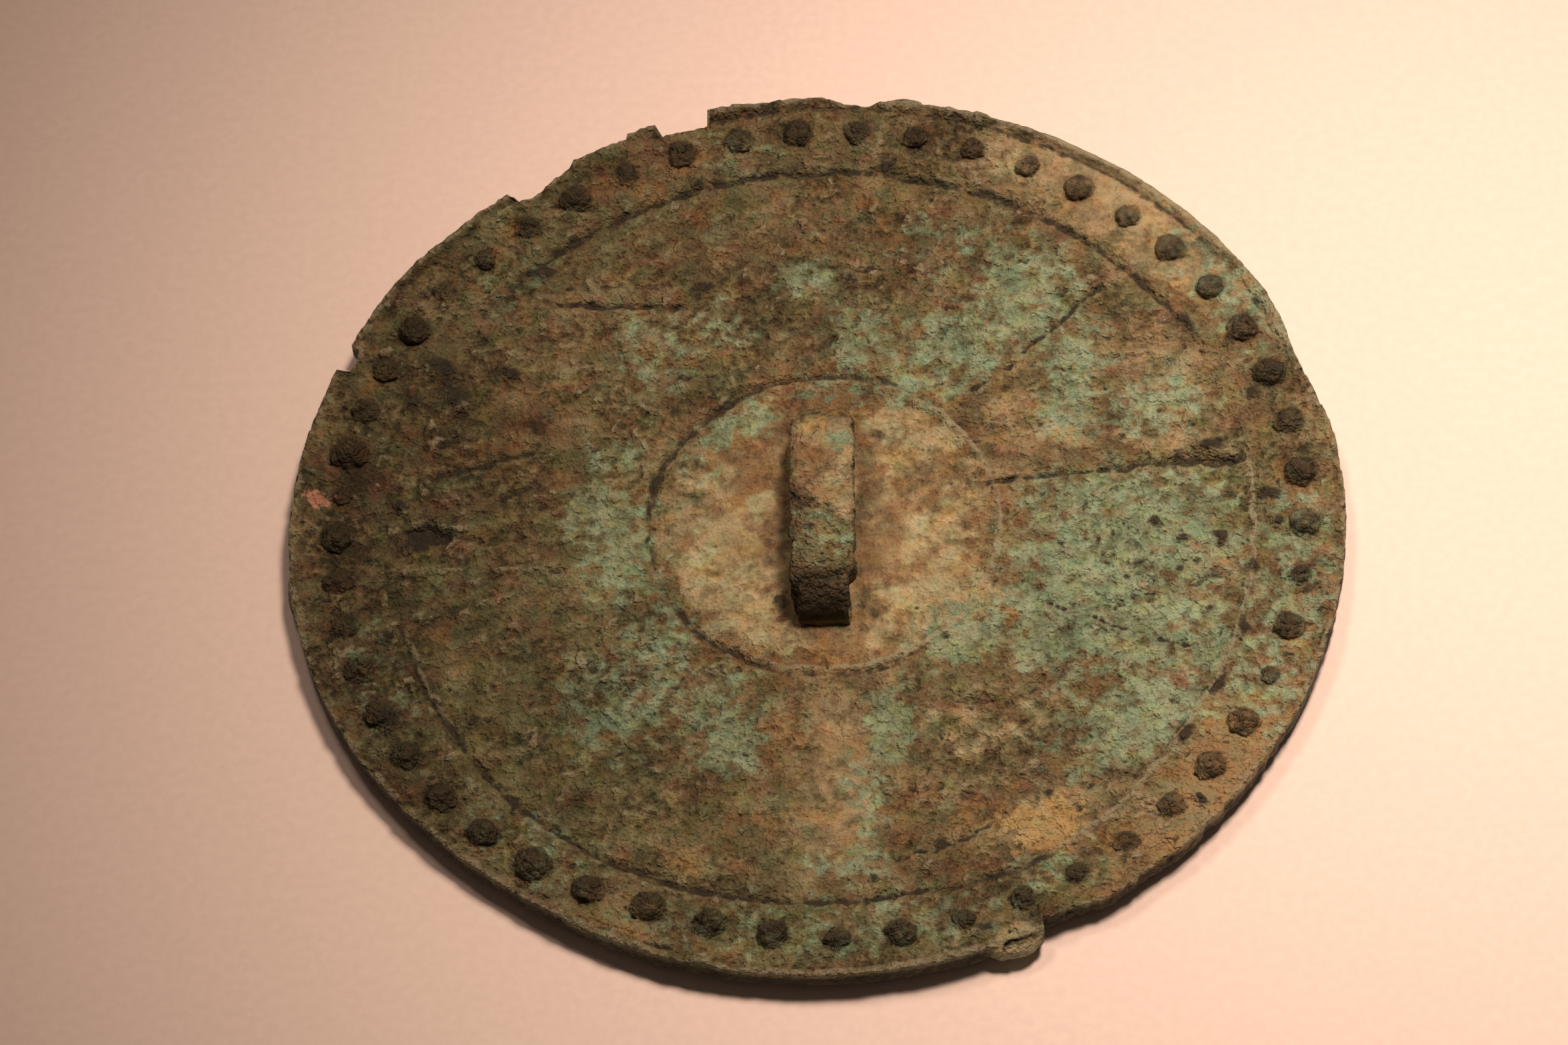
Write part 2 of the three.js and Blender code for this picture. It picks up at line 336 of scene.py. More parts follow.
def mesh_object(name: str, points: Array, faces: Sequence) -> bpy.types.Object:
    """A mesh object at the origin from points in millimetres.

    Args:
        name: Name of the object.
        points: Vertex positions in millimetres.
        faces: Vertex numbers of each face.

    Returns:
        The object, linked to the scene.
    """
    mesh = bpy.data.meshes.new(name)
    mesh.from_pydata((points * MM).tolist(), [], [list(map(int, face)) for face in faces])
    mesh.validate()
    made = bpy.data.objects.new(name, mesh)
    bpy.context.scene.collection.objects.link(made)
    return made


def vertex_points(made: bpy.types.Object) -> Array:
    """Reads where an object's vertices are.

    Args:
        made: The object.

    Returns:
        One row for each vertex, in millimetres.
    """
    flat = np.empty(len(made.data.vertices) * 3)
    made.data.vertices.foreach_get("co", flat)
    return flat.reshape(-1, 3) / MM


def settle(made: bpy.types.Object) -> None:
    """Bakes an object's modifiers into a plain mesh and removes them.

    Args:
        made: The object.
    """
    graph = bpy.context.evaluated_depsgraph_get()
    plain = bpy.data.meshes.new_from_object(made.evaluated_get(graph), depsgraph=graph)
    old = made.data
    made.modifiers.clear()
    made.data = plain
    bpy.data.meshes.remove(old)


def discard(made: bpy.types.Object) -> None:
    """Removes a working object and its mesh.

    Args:
        made: The object.
    """
    mesh = made.data
    bpy.data.objects.remove(made)
    bpy.data.meshes.remove(mesh)


# ------------------------------------------------------------------ the form


@dataclass(frozen=True)
class Plate:
    """The bowed disc: its face, its back with two string rings, and its broken edge."""

    radius: float = 62.5
    flat_patch_radius: float = 20.0
    rim_lift: float = 0.8
    field_thickness: float = 2.2
    band_thickness: float = 2.5
    rim_thickness: float = 3.0
    disc_sink: float = 0.15
    edge_rounding: float = 1.4
    lip_width: float = 0.8
    lip_height: float = 0.5
    outer_ring_radius: float = 51.9
    inner_ring_radius: float = 20.7
    ring_width: float = 1.3
    ring_height: float = 0.5
    outer_step: tuple[float, float] = (-0.5, 0.5)
    inner_step: tuple[float, float] = (-0.7, 0.1)
    ragged: tuple[Grit, Grit] = (Grit(0.16, 5.0, 3), Grit(0.1, 1.2, 2))
    frayed: tuple[Hump, Hump] = (Hump(312, 20, 1.6), Hump(115, 14, 1.0))
    least_loss: float = 0.08
    swells: tuple[Hump, ...] = (
        Hump(180, 30, 0.8),
        Hump(234, 20, -1.0),
        Hump(19, 6, -1.1),
        Hump(145, 7, 0.5),
    )
    breaks: tuple[tuple[tuple[float, float], ...], ...] = (
        ((102.7, 1.7), (105.6, 1.9), (108.8, 1.5)),
        ((112.3, 0.6), (119.0, 0.7), (122.5, 1.5), (125.5, 2.3), (127.5, 1.9)),
        ((81.8, 0.1), (84.2, 1.1), (86.8, 1.0), (89.2, 0.1)),
        ((154.4, 0.9), (156.2, 1.6), (157.9, 1.3)),
        ((294.6, 1.3), (298.5, 0.9), (302.0, 0.1)),
    )

    def face_height(self, radius: Array) -> Array:
        """Height of the bowed reflecting face above the table."""
        beyond = np.maximum(0, radius - self.flat_patch_radius)
        return self.rim_lift * (beyond / (self.radius - self.flat_patch_radius)) ** 2

    def back_height(self, radius: Array) -> Array:
        """Height of the bare back, without rings, lip or bosses.

        Args:
            radius: Distances from the centre.

        Returns:
            The height above the table at each distance.
        """
        across = (radius - self.outer_ring_radius) / (self.radius - self.outer_ring_radius)
        band = self.band_thickness + (self.rim_thickness - self.band_thickness) * np.clip(across, 0, 1)
        step_out = smooth(radius - self.outer_ring_radius, *self.outer_step)
        step_in = smooth(radius - self.inner_ring_radius, *self.inner_step)
        field = self.field_thickness - self.disc_sink * (1 - step_in)
        return self.face_height(radius) + field + (band - field) * step_out

    def whole(self, angle: Array) -> Array:
        """Distance of the unbroken edge from the centre at each angle."""
        return self.radius + sum(swell.height(angle) for swell in self.swells)

    def outline(self, angle: Array, noise: Noise) -> Array:
        """Distance of the edge from the centre, with its swells, breaks and raggedness.

        Args:
            angle: Angles round the mirror.
            noise: Source of the raggedness.

        Returns:
            The distance at each angle.
        """
        edge = self.whole(angle)
        for line in self.breaks:
            angles, depths = zip(*line)
            edge = edge - np.interp(angle % 360, angles, depths, left=0, right=0)
        ring = lifted(plan_points(self.radius, angle))
        ragged = sum(grit.at(noise, ring) for grit in self.ragged)
        frayed = 1 + sum(hump.height(angle) for hump in self.frayed)
        return edge - np.maximum(0, ragged * frayed + self.least_loss)


@dataclass(frozen=True)
class Lump:
    """A crust that stands out past the edge."""

    at: float
    length: float
    reach: float
    low: float
    high: float

    def swell(self, angle: Array, height: Array, radius: float) -> Array:
        """How fully the lump stands out at places on the edge.

        Args:
            angle: Angle of each place.
            height: Height of each place.
            radius: The mirror's radius.

        Returns:
            1 in the lump's middle and 0 past its ends.
        """
        beside = turn_between(self.at, angle) * math.pi * radius / 180 / (self.length / 2)
        above = (height - (self.low + self.high) / 2) / ((self.high - self.low) / 2)
        return np.sqrt(np.clip(1 - beside**2, 0, 1)) * np.sqrt(np.clip(1 - above**2, 0, 1))


EDGE_LUMPS = (
    Lump(79.7, 4.2, 1.1, 1.4, 4.1),
    Lump(92.9, 3.4, 1.0, 1.3, 3.9),
    Lump(39.4, 2.6, 0.7, 1.6, 4.0),
    Lump(187.6, 4.6, 0.6, 1.3, 3.8),
    Lump(291.2, 6.4, 1.6, 1.1, 3.5),
)


@dataclass(frozen=True)
class Leaf:
    """One quarter's leaf: its midrib, the headings of its veins, and how fresh it is."""

    midrib: float
    before: float
    after: float
    freshness: float


@dataclass(frozen=True)
class Carving:
    """The cast lines on the field: four double-lined spokes and four leaves."""

    plate: Plate
    spoke_half_width: float = 5.0
    spoke_relief: float = 0.32
    midrib_relief: float = 0.4
    vein_relief: float = 0.25
    line_width: float = 0.3
    midrib_width: float = 0.34
    veins_per_side: int = 5
    vein_inner_radius: float = 26.0
    vein_outer_radius: float = 47.0
    vein_length: float = 12.0
    leaves: tuple[Leaf, ...] = (
        Leaf(44, -12, 76, 1.0),
        Leaf(128, 52, 182, 0.9),
        Leaf(226, 188, 256, 0.7),
        Leaf(315, 238, 18, 0.8),
    )

    def spokes(self) -> list[Stroke]:
        """The two parallel lines of each of the four spokes.

        Returns:
            One stroke for each line, from the inner ring to the outer one.
        """
        strokes = []
        inner, outer = self.plate.inner_ring_radius, self.plate.outer_ring_radius
        for angle in (0, 90, 180, 270):
            for side in (-1, 1):
                lean = math.degrees(math.asin(side * self.spoke_half_width / inner))
                reach = math.degrees(math.asin(side * self.spoke_half_width / outer))
                root, tip = polar(inner, angle + lean), polar(outer, angle + reach)
                strokes.append(Stroke(root, tip, self.line_width, self.spoke_relief))
        return strokes

    def veins(self) -> list[Stroke]:
        """The midrib of each leaf and the parallel veins on both of its sides.

        Returns:
            One stroke for each midrib and each vein.
        """
        strokes = []
        for leaf in self.leaves:
            root = polar(self.plate.inner_ring_radius, leaf.midrib)
            tip = polar(self.plate.outer_ring_radius, leaf.midrib)
            strokes.append(Stroke(root, tip, self.midrib_width, self.midrib_relief * leaf.freshness))
            for heading in (leaf.before, leaf.after):
                strokes.extend(self.veins_beside(leaf, heading))
        return strokes

    def veins_beside(self, leaf: Leaf, heading: float) -> list[Stroke]:
        """The veins on one side of a midrib, kept clear of the outer ring.

        Args:
            leaf: The leaf that they belong to.
            heading: The way they run.

        Returns:
            One stroke for each vein.
        """
        strokes = []
        east, north = polar(1, heading)
        for index in range(self.veins_per_side):
            share = (index + 0.5) / self.veins_per_side
            reach = self.vein_inner_radius + share * (self.vein_outer_radius - self.vein_inner_radius)
            x, y = polar(reach, leaf.midrib)
            limit = self.plate.outer_ring_radius - self.plate.ring_width
            edge = math.sqrt(limit**2 - (x * north - y * east) ** 2)
            length = min(self.vein_length, edge - (x * east + y * north))
            end = (x + length * east, y + length * north)
            strokes.append(Stroke((x, y), end, self.line_width, self.vein_relief * leaf.freshness))
        return strokes


# Lines that corrosion has opened or left standing on the field: cracks sink, veins rise.
CRACKS = (
    Stroke((17.9, 18.9), (21.4, 20.8), 0.35, -0.45),
    Stroke((21.2, 20.6), (34.6, 34.2), 0.32, -0.7),
    Stroke((19.6, 5.6), (33.2, 6.9), 0.38, -0.6),
    Stroke((33.0, 6.9), (43.0, 7.8), 0.45, -0.8),
    Stroke((42.2, 7.9), (50.8, 7.6), 0.8, -1.4),
    Stroke((-32.8, 33.3), (-16.1, 32.5), 0.45, -0.7),
    Stroke((-46.7, 8.5), (-38.3, 10.6), 0.5, -0.6),
    Stroke((-38.5, 10.5), (-33.8, 12.0), 0.4, -0.5),
    Stroke((-46.0, 12.6), (-43.2, 14.0), 0.4, -0.4),
    Stroke((-38.3, 5.0), (-34.2, 7.1), 0.4, -0.4),
    Stroke((2.3, 33.5), (3.7, 36.9), 0.3, -0.35),
    Stroke((3.7, 36.9), (8.9, 37.3), 0.3, -0.35),
    Stroke((8.2, -46.4), (13.2, -45.4), 0.3, -0.4),
    Stroke((13.2, -45.4), (15.8, -44.2), 0.45, -0.5),
    Stroke((15.8, -44.2), (20.6, -41.6), 0.22, -0.35),
    Stroke((26.4, -11.6), (31.4, -13.8), 0.24, -0.3),
    Stroke((31.4, -13.8), (39.2, -16.8), 0.16, -0.25),
    Stroke((39.2, -16.8), (44.0, -18.8), 0.24, -0.3),
)
FAINT_VEINS = (
    Stroke((-51.5, -5.4), (-39.7, -4.7), 0.35, 0.25),
    Stroke((-39.7, -4.7), (-28.6, -4.7), 0.35, 0.25),
    Stroke((-39.7, 4.7), (-23.1, 4.3), 0.3, -0.25),
    Stroke((-4.7, -29.0), (-5.0, -49.2), 0.22, -0.25),
    Stroke((6.1, -24.9), (4.7, -49.2), 0.22, -0.2),
    Stroke((22.1, 20.3), (30.4, 18.1), 0.25, -0.25),
    Stroke((24.9, 22.4), (35.3, 21.3), 0.25, -0.28),
    Stroke((30.4, 26.2), (43.6, 25.3), 0.25, -0.28),
    Stroke((15.8, 14.7), (22.8, 12.6), 0.25, -0.25),
    Stroke((37.4, 27.9), (40.8, 27.8), 0.25, -0.25),
    Stroke((17.9, 33.5), (22.1, 39.0), 0.22, -0.2),
    Stroke((-23.0, 37.6), (-18.9, 37.6), 0.25, -0.25),
    Stroke((-26.5, 35.6), (-19.6, 35.6), 0.25, -0.28),
    Stroke((-19.6, 29.7), (-15.4, 29.7), 0.25, -0.28),
    Stroke((-19.6, 27.8), (-15.4, 27.6), 0.25, -0.25),
    Stroke((-18.9, 25.0), (-12.6, 24.8), 0.28, -0.3),
    Stroke((-18.9, 22.2), (-11.9, 22.0), 0.28, -0.3),
    Stroke((-17.5, 19.6), (-11.9, 19.4), 0.28, -0.3),
    Stroke((-11.3, 24.4), (-5.7, 27.2), 0.28, -0.3),
    Stroke((14.4, -25.2), (22.1, -25.2), 0.28, -0.3),
    Stroke((16.1, -29.6), (22.0, -29.6), 0.25, 0.25),
    Stroke((7.8, -41.8), (13.3, -33.5), 0.3, -0.3),
    Stroke((17.5, -35.8), (23.0, -28.9), 0.3, -0.3),
    Stroke((40.8, -11.0), (49.2, -8.2), 0.35, -0.4),
    Stroke((26.4, -3.3), (41.0, -3.4), 0.16, -0.2),
)
CRESCENT_PIT = Patch(-46.3, 0.2, 3.2, 1.3, -12)
DARK_CRUMBS = (
    Patch(-4.6, -10.6, 0.9, 1.5),
    Patch(46.6, 10.0, 1.2, 0.8),
    Patch(43.0, 9.0, 0.7, 0.5),
    Patch(40.0, -0.8, 0.9, 0.7, 0, 1.4),
    Patch(43.2, -3.4, 1.1, 0.5),
    Patch(47.4, -3.2, 1.2, 0.7),
    Patch(37.8, -6.8, 1.5, 0.6, 38),
    Patch(28.8, -5.2, 0.5, 0.4),
    Patch(33.4, -5.4, 0.7, 0.6, 0, 0.6),
    Patch(46.0, -13.4, 0.7, 0.5),
    Patch(51.0, -7.6, 0.7, 0.7),
    Patch(57.6, -11.6, 1.7, 0.6, 25),
    Patch(46.6, -8.8, 1.6, 0.5, 20, 0.7),
    Patch(14.0, -44.6, 1.0, 0.8, 30),
    Patch(17.7, -37.9, 0.9, 0.8, 0, 0.7),
    Patch(26.7, -37.9, 0.9, 0.6, 20),
    Patch(34.0, -35.8, 2.6, 0.9, 10, 0.55),
    Patch(-14.4, 34.9, 1.5, 1.6),
    Patch(-37.5, 23.5, 1.6, 0.9, -30),
    Patch(-33.2, 37.8, 1.5, 0.9, 30),
    Patch(-44.0, 20.0, 2.0, 2.4),
    *(
        Patch(*polar(radius, angle), along, across, angle + 90)
        for angle, radius, along, across in (
            (66.5, 52.3, 1.2, 0.8), (80.8, 52.4, 1.5, 1.1), (85.5, 51.9, 0.9, 0.4),
            (103.6, 52.0, 1.1, 0.6), (106.2, 52.6, 0.9, 0.9), (131.6, 51.3, 1.3, 0.9),
            (152.0, 51.9, 1.3, 1.9), (158.7, 52.4, 1.6, 1.0), (31.8, 52.4, 2.0, 0.6),
            (2.4, 53.6, 1.0, 1.6), (11.8, 48.6, 0.9, 0.9), (275.8, 52.2, 0.6, 0.9),
            (276.9, 49.2, 0.5, 0.7), (269.0, 52.2, 1.8, 0.6), (294.0, 60.0, 1.1, 0.9),
            (288.6, 59.6, 1.4, 0.8), (317.5, 59.6, 0.5, 1.0), (339.2, 58.4, 0.4, 0.9),
            (332.5, 52.4, 1.8, 0.7), (341.5, 52.4, 1.0, 0.8), (324.0, 52.6, 1.9, 0.7),
            (351.2, 51.9, 0.8, 0.5), (355.9, 47.5, 0.9, 1.0), (357.9, 54.6, 1.0, 0.7),
            (213.0, 48.2, 1.0, 0.9), (194.2, 59.0, 0.5, 1.9), (207.6, 57.2, 2.4, 1.6),
            (196.0, 53.2, 0.9, 1.2), (175.5, 50.4, 1.2, 1.2), (181.0, 48.0, 1.6, 1.8),
            (26.2, 55.4, 1.0, 0.9), (17.8, 54.8, 1.0, 1.0),
        )
    ),
)
ROUGH_CLUMPS = (
    Patch(-43.5, 36.0, 6.0, 4.5, 40),
    Patch(-46.0, 19.0, 3.2, 3.6),
    Patch(-46.3, 0.5, 6.5, 3.2, -10),
    Patch(-10.5, -18.5, 4.5, 2.2, -30),
    Patch(41.0, -9.5, 6.5, 3.5, 20),
    Patch(34.0, -35.8, 4.0, 2.0, 10, 1.3),
    Patch(-22.0, -17.0, 8.0, 6.0, -30, 0.7),
)
SMOOTH_AREAS = (
    Patch(0, 0, 19.0, 19.0, 0, 0.75),
    Patch(38.0, 45.5, 20.0, 7.0, -50, 0.9),
    Patch(2.0, -38.0, 6.0, 12.0, 0, 0.5),
)


@dataclass(frozen=True)
class StringRing:
    """A thin cast ring: where it still stands, and where the groove beside it sinks and is darkened
    with dirt and painted shade.
    """

    radius: float
    x: float
    y: float
    groove: float
    strays: tuple[Hump, ...]
    standing: tuple[Hump, ...]
    sunk: tuple[Hump, ...]
    least_standing: float = 0.25
    least_sunk: float = 0.3
    crest_width: float = 0.34
    groove_width: float = 0.5
    groove_depth: float = 0.36
    thread_width: float = 0.32
    thread_shift: float = 0.05

    def away(self, plan: Array) -> tuple[Array, Array]:
        """How far outside the ring plan points lie, and their angles round it.

        Args:
            plan: Plan points, one to a row.

        Returns:
            The distances and the angles.
        """
        own = plan - (self.x, self.y)
        angle = angle_of(own)
        stray = sum(hump.height(angle) for hump in self.strays)
        return np.hypot(own[:, 0], own[:, 1]) - self.radius - stray, angle

    def stands(self, angle: Array) -> Array:
        """How fully the ridge stands at each angle."""
        return np.clip(self.least_standing + sum(hump.height(angle) for hump in self.standing), 0, 1.2)

    def sinks(self, angle: Array) -> Array:
        """How deep the groove beside it is at each angle."""
        return np.clip(self.least_sunk + sum(hump.height(angle) for hump in self.sunk), 0, 1.8)

    def crest_line(self, away: Array) -> Array:
        """How near points are to the ridge's crest, from 0 to 1."""
        return np.exp(-((away / self.crest_width) ** 2))

    def groove_line(self, away: Array) -> Array:
        """How near points are to the bottom of the groove, from 0 to 1."""
        return np.exp(-(((away - self.groove) / self.groove_width) ** 2))

    def thread(self, plan: Array) -> Array:
        """How pale the ridge's crest is, as worn metal with a painted highlight.

        Args:
            plan: Plan points, one to a row.

        Returns:
            The paleness, from 0 to 1.
        """
        away, angle = self.away(plan)
        near = np.exp(-(((away + self.thread_shift) / self.thread_width) ** 2))
        return np.clip(1.6 * (self.stands(angle) - 0.4), 0, 1) * near

    def groove_dirt_and_shade(self, plan: Array) -> Array:
        """How dark the groove is at each plan point."""
        away, angle = self.away(plan)
        return np.clip(self.sinks(angle) - 0.2, 0, 1) * self.groove_line(away)


STRING_RINGS = (
    StringRing(
        51.7, 0.0, 0.0, 0.25,
        (Hump(303, 18, 1.7), Hump(203, 22, -1.0)),
        (Hump(-18, 26, 1.4), Hump(204, 14, 0.6), Hump(303, 12, 0.6)),
        (
            Hump(93, 14, 1.3), Hump(120, 15, 1.7), Hump(60, 10, 1.0), Hump(40, 12, 1.3),
            Hump(76, 6, 0.7), Hump(-24, 12, 0.5), Hump(228, 14, 1.5), Hump(204, 10, 0.6),
            Hump(262, 24, 2.0), Hump(292, 10, 0.6),
        ),
    ),
    StringRing(
        20.6, 0.9, 0.5, 0.75,
        (),
        (Hump(45, 32, 0.75), Hump(-80, 42, 0.9), Hump(-6, 24, 0.5)),
        (
            Hump(118, 24, 1.9), Hump(85, 16, 1.3), Hump(158, 14, 1.4),
            Hump(182, 10, 0.9), Hump(232, 20, 1.5), Hump(-72, 30, 0.45),
        ),
    ),
)


@dataclass(frozen=True)
class Streaks:
    """The fine streaks of one stretch of the field: where it lies and how they run."""

    at: float
    heading: float
    spread: float


@dataclass(frozen=True)
class Surface:
    """The whole relief of the back as a height over the plan."""

    plate: Plate
    carving: Carving
    noise: Noise
    swell: Grit = Grit(0.12, 16.0, 2)
    skin: Grit = Grit(0.3, 2.6, 4, 5, 0.72)
    scabs: Grit = Grit(1.0, 3.2, 3, 61, 0.65)
    scab_height: float = 0.42
    pits: Grit = Grit(1.0, 1.6, 2, 83)
    pit_depth: float = 0.5
    grain_relief: float = 0.2
    line_wear: Grit = Grit(0.45, 3.0, 2, 101)
    line_share: float = 0.6
    crumb_height: float = 0.35
    hollow_depth: float = 1.0
    ring_waver: Grit = Grit(0.14, 5.0, 3)
    ring_wear: Grit = Grit(0.5, 6.0, 3, 40)
    lip_waver: Grit = Grit(0.15, 6.0, 2, 0)
    lip_wear: Grit = Grit(0.5, 5.0, 3, 0)
    lip_fresh: tuple[Hump, ...] = (Hump(62, 34, 0.75), Hump(100, 8, 0.75), Hump(250, 45, 0.4))
    lip_worn: float = 0.35
    lip_flank: float = 0.4
    lip_groove: tuple[float, float, float] = (1.5, 0.35, 0.2)
    slow_bend: tuple[Grit, Grit] = (Grit(0.35, 3.0, 2, 7), Grit(0.35, 3.0, 2, 11))
    quick_bend: tuple[Grit, Grit] = (Grit(0.16, 0.9, 2, 27), Grit(0.16, 0.9, 2, 33))
    streak_stretch: float = 5.5
    streak_width: float = 1.3
    streaks: tuple[Streaks, ...] = (
        Streaks(20, -10, 30),
        Streaks(66, 62, 22),
        Streaks(115, 40, 26),
        Streaks(155, 12, 30),
        Streaks(200, 12, 30),
        Streaks(240, 55, 26),
        Streaks(290, 70, 20),
        Streaks(325, 30, 30),
    )

    def roughness(self, plan: Array) -> Array:
        """How rough the corroded skin is, about 1 on the open field.

        Args:
            plan: Plan points, one to a row.

        Returns:
            The roughness at each plan point.
        """
        rough = 1 + 0.9 * strongest(ROUGH_CLUMPS, plan) - strongest(SMOOTH_AREAS, plan)
        band = smooth(np.hypot(plan[:, 0], plan[:, 1]), 52.5, 54.5)
        west = smooth(-plan[:, 0], -30, 30)
        return np.maximum(0.15, rough * (1 + 0.35 * band * west))

    def grain(self, plan: Array) -> Array:
        """Fine streaks that run with the veins of each quarter.

        Args:
            plan: Plan points, one to a row.

        Returns:
            The strength of the streaks, between about -1 and 1.
        """
        total = np.zeros(len(plan))
        angle = angle_of(plan)
        radius = np.hypot(plan[:, 0], plan[:, 1])
        field = smooth(radius, 22, 25) * smooth(-radius, -51, -48)
        for stretch in self.streaks:
            turn = math.radians(stretch.heading)
            along = plan @ (math.cos(turn), math.sin(turn)) / self.streak_stretch
            across = plan @ (-math.sin(turn), math.cos(turn))
            spots = np.column_stack([along, across, np.full(len(plan), stretch.at)])
            share = np.exp(-((turn_between(stretch.at, angle) / stretch.spread) ** 2))
            total += share * self.noise.layered(spots, self.streak_width, 3)
        return total * field

    def rings(self, plan: Array) -> Array:
        """Relief of the two string rings, worn low and buried in places.

        Args:
            plan: Plan points, one to a row.

        Returns:
            The rise at each plan point.
        """
        spots = lifted(plan)
        waver = self.ring_waver.at(self.noise, spots)
        worn = np.clip(0.8 + self.ring_wear.at(self.noise, spots), 0.15, 1.2)
        total = np.zeros(len(plan))
        bent = self.bent(plan)
        for ring in STRING_RINGS:
            away, angle = ring.away(bent)
            away = away - waver
            total += self.plate.ring_height * ring.stands(angle) * worn * ring.crest_line(away)
            total -= ring.groove_depth * ring.sinks(angle) * ring.groove_line(away)
        return total

    def lip(self, inside: Array, plan: Array) -> Array:
        """Relief of the lip.

        Args:
            inside: Distance of each plan point inside the unbroken outline.
            plan: Plan points.

        Returns:
            The rise of the lip at each plan point.
        """
        angle = angle_of(plan)
        fresh = self.lip_worn + np.max([hump.height(angle) for hump in self.lip_fresh], axis=0)
        waver = inside + self.lip_waver.at(self.noise, lifted(plan, 9))
        rise = smooth(-waver, -self.plate.lip_width - self.lip_flank, -self.plate.lip_width)
        worn = np.clip(0.85 + self.lip_wear.at(self.noise, lifted(plan, 23)), 0.1, 1.0)
        place, width, depth = self.lip_groove
        groove = depth * fresh * np.exp(-(((waver - place) / width) ** 2))
        return self.plate.lip_height * np.minimum(1, worn * fresh) * rise - groove

    def bent(self, plan: Array) -> Array:
        """Plan points shifted a little, so that straight strokes waver on the casting.

        Args:
            plan: Plan points, one to a row.

        Returns:
            The shifted points.
        """
        spots = lifted(plan)
        slow = np.column_stack([grit.at(self.noise, spots) for grit in self.slow_bend])
        quick = np.column_stack([grit.at(self.noise, spots) for grit in self.quick_bend])
        return plan + slow + quick

    def relief(self, plan: Array) -> Array:
        """Everything that stands above or below the bare back, without the lip.

        Args:
            plan: Plan points.

        Returns:
            The rise at each plan point.
        """
        spots = lifted(plan)
        rough = self.roughness(plan)
        total = self.swell.at(self.noise, spots) + rough * self.skin.at(self.noise, spots)
        total += rough * self.scab_height * smooth(self.scabs.at(self.noise, spots), 0.25, 0.7)
        total -= rough * self.pit_depth * smooth(self.pits.at(self.noise, spots), 0.45, 0.95)
        total += self.grain_relief * self.grain(plan) * np.minimum(1.2, rough)
        total += self.rings(plan)
        worn = np.clip(0.75 + self.line_wear.at(self.noise, spots), 0.2, 1.2)
        for stroke in (*self.carving.spokes(), *self.carving.veins()):
            total += self.line_share * stroke.rise * stroke.share(plan) * worn
        waver = self.bent(plan)
        for stroke in (*CRACKS, *FAINT_VEINS):
            total += stroke.rise * stroke.share(waver) * worn
        total += self.crumb_height * strongest(DARK_CRUMBS, waver)
        return total - self.hollow_depth * smooth(CRESCENT_PIT.share(waver), 0.1, 0.8)


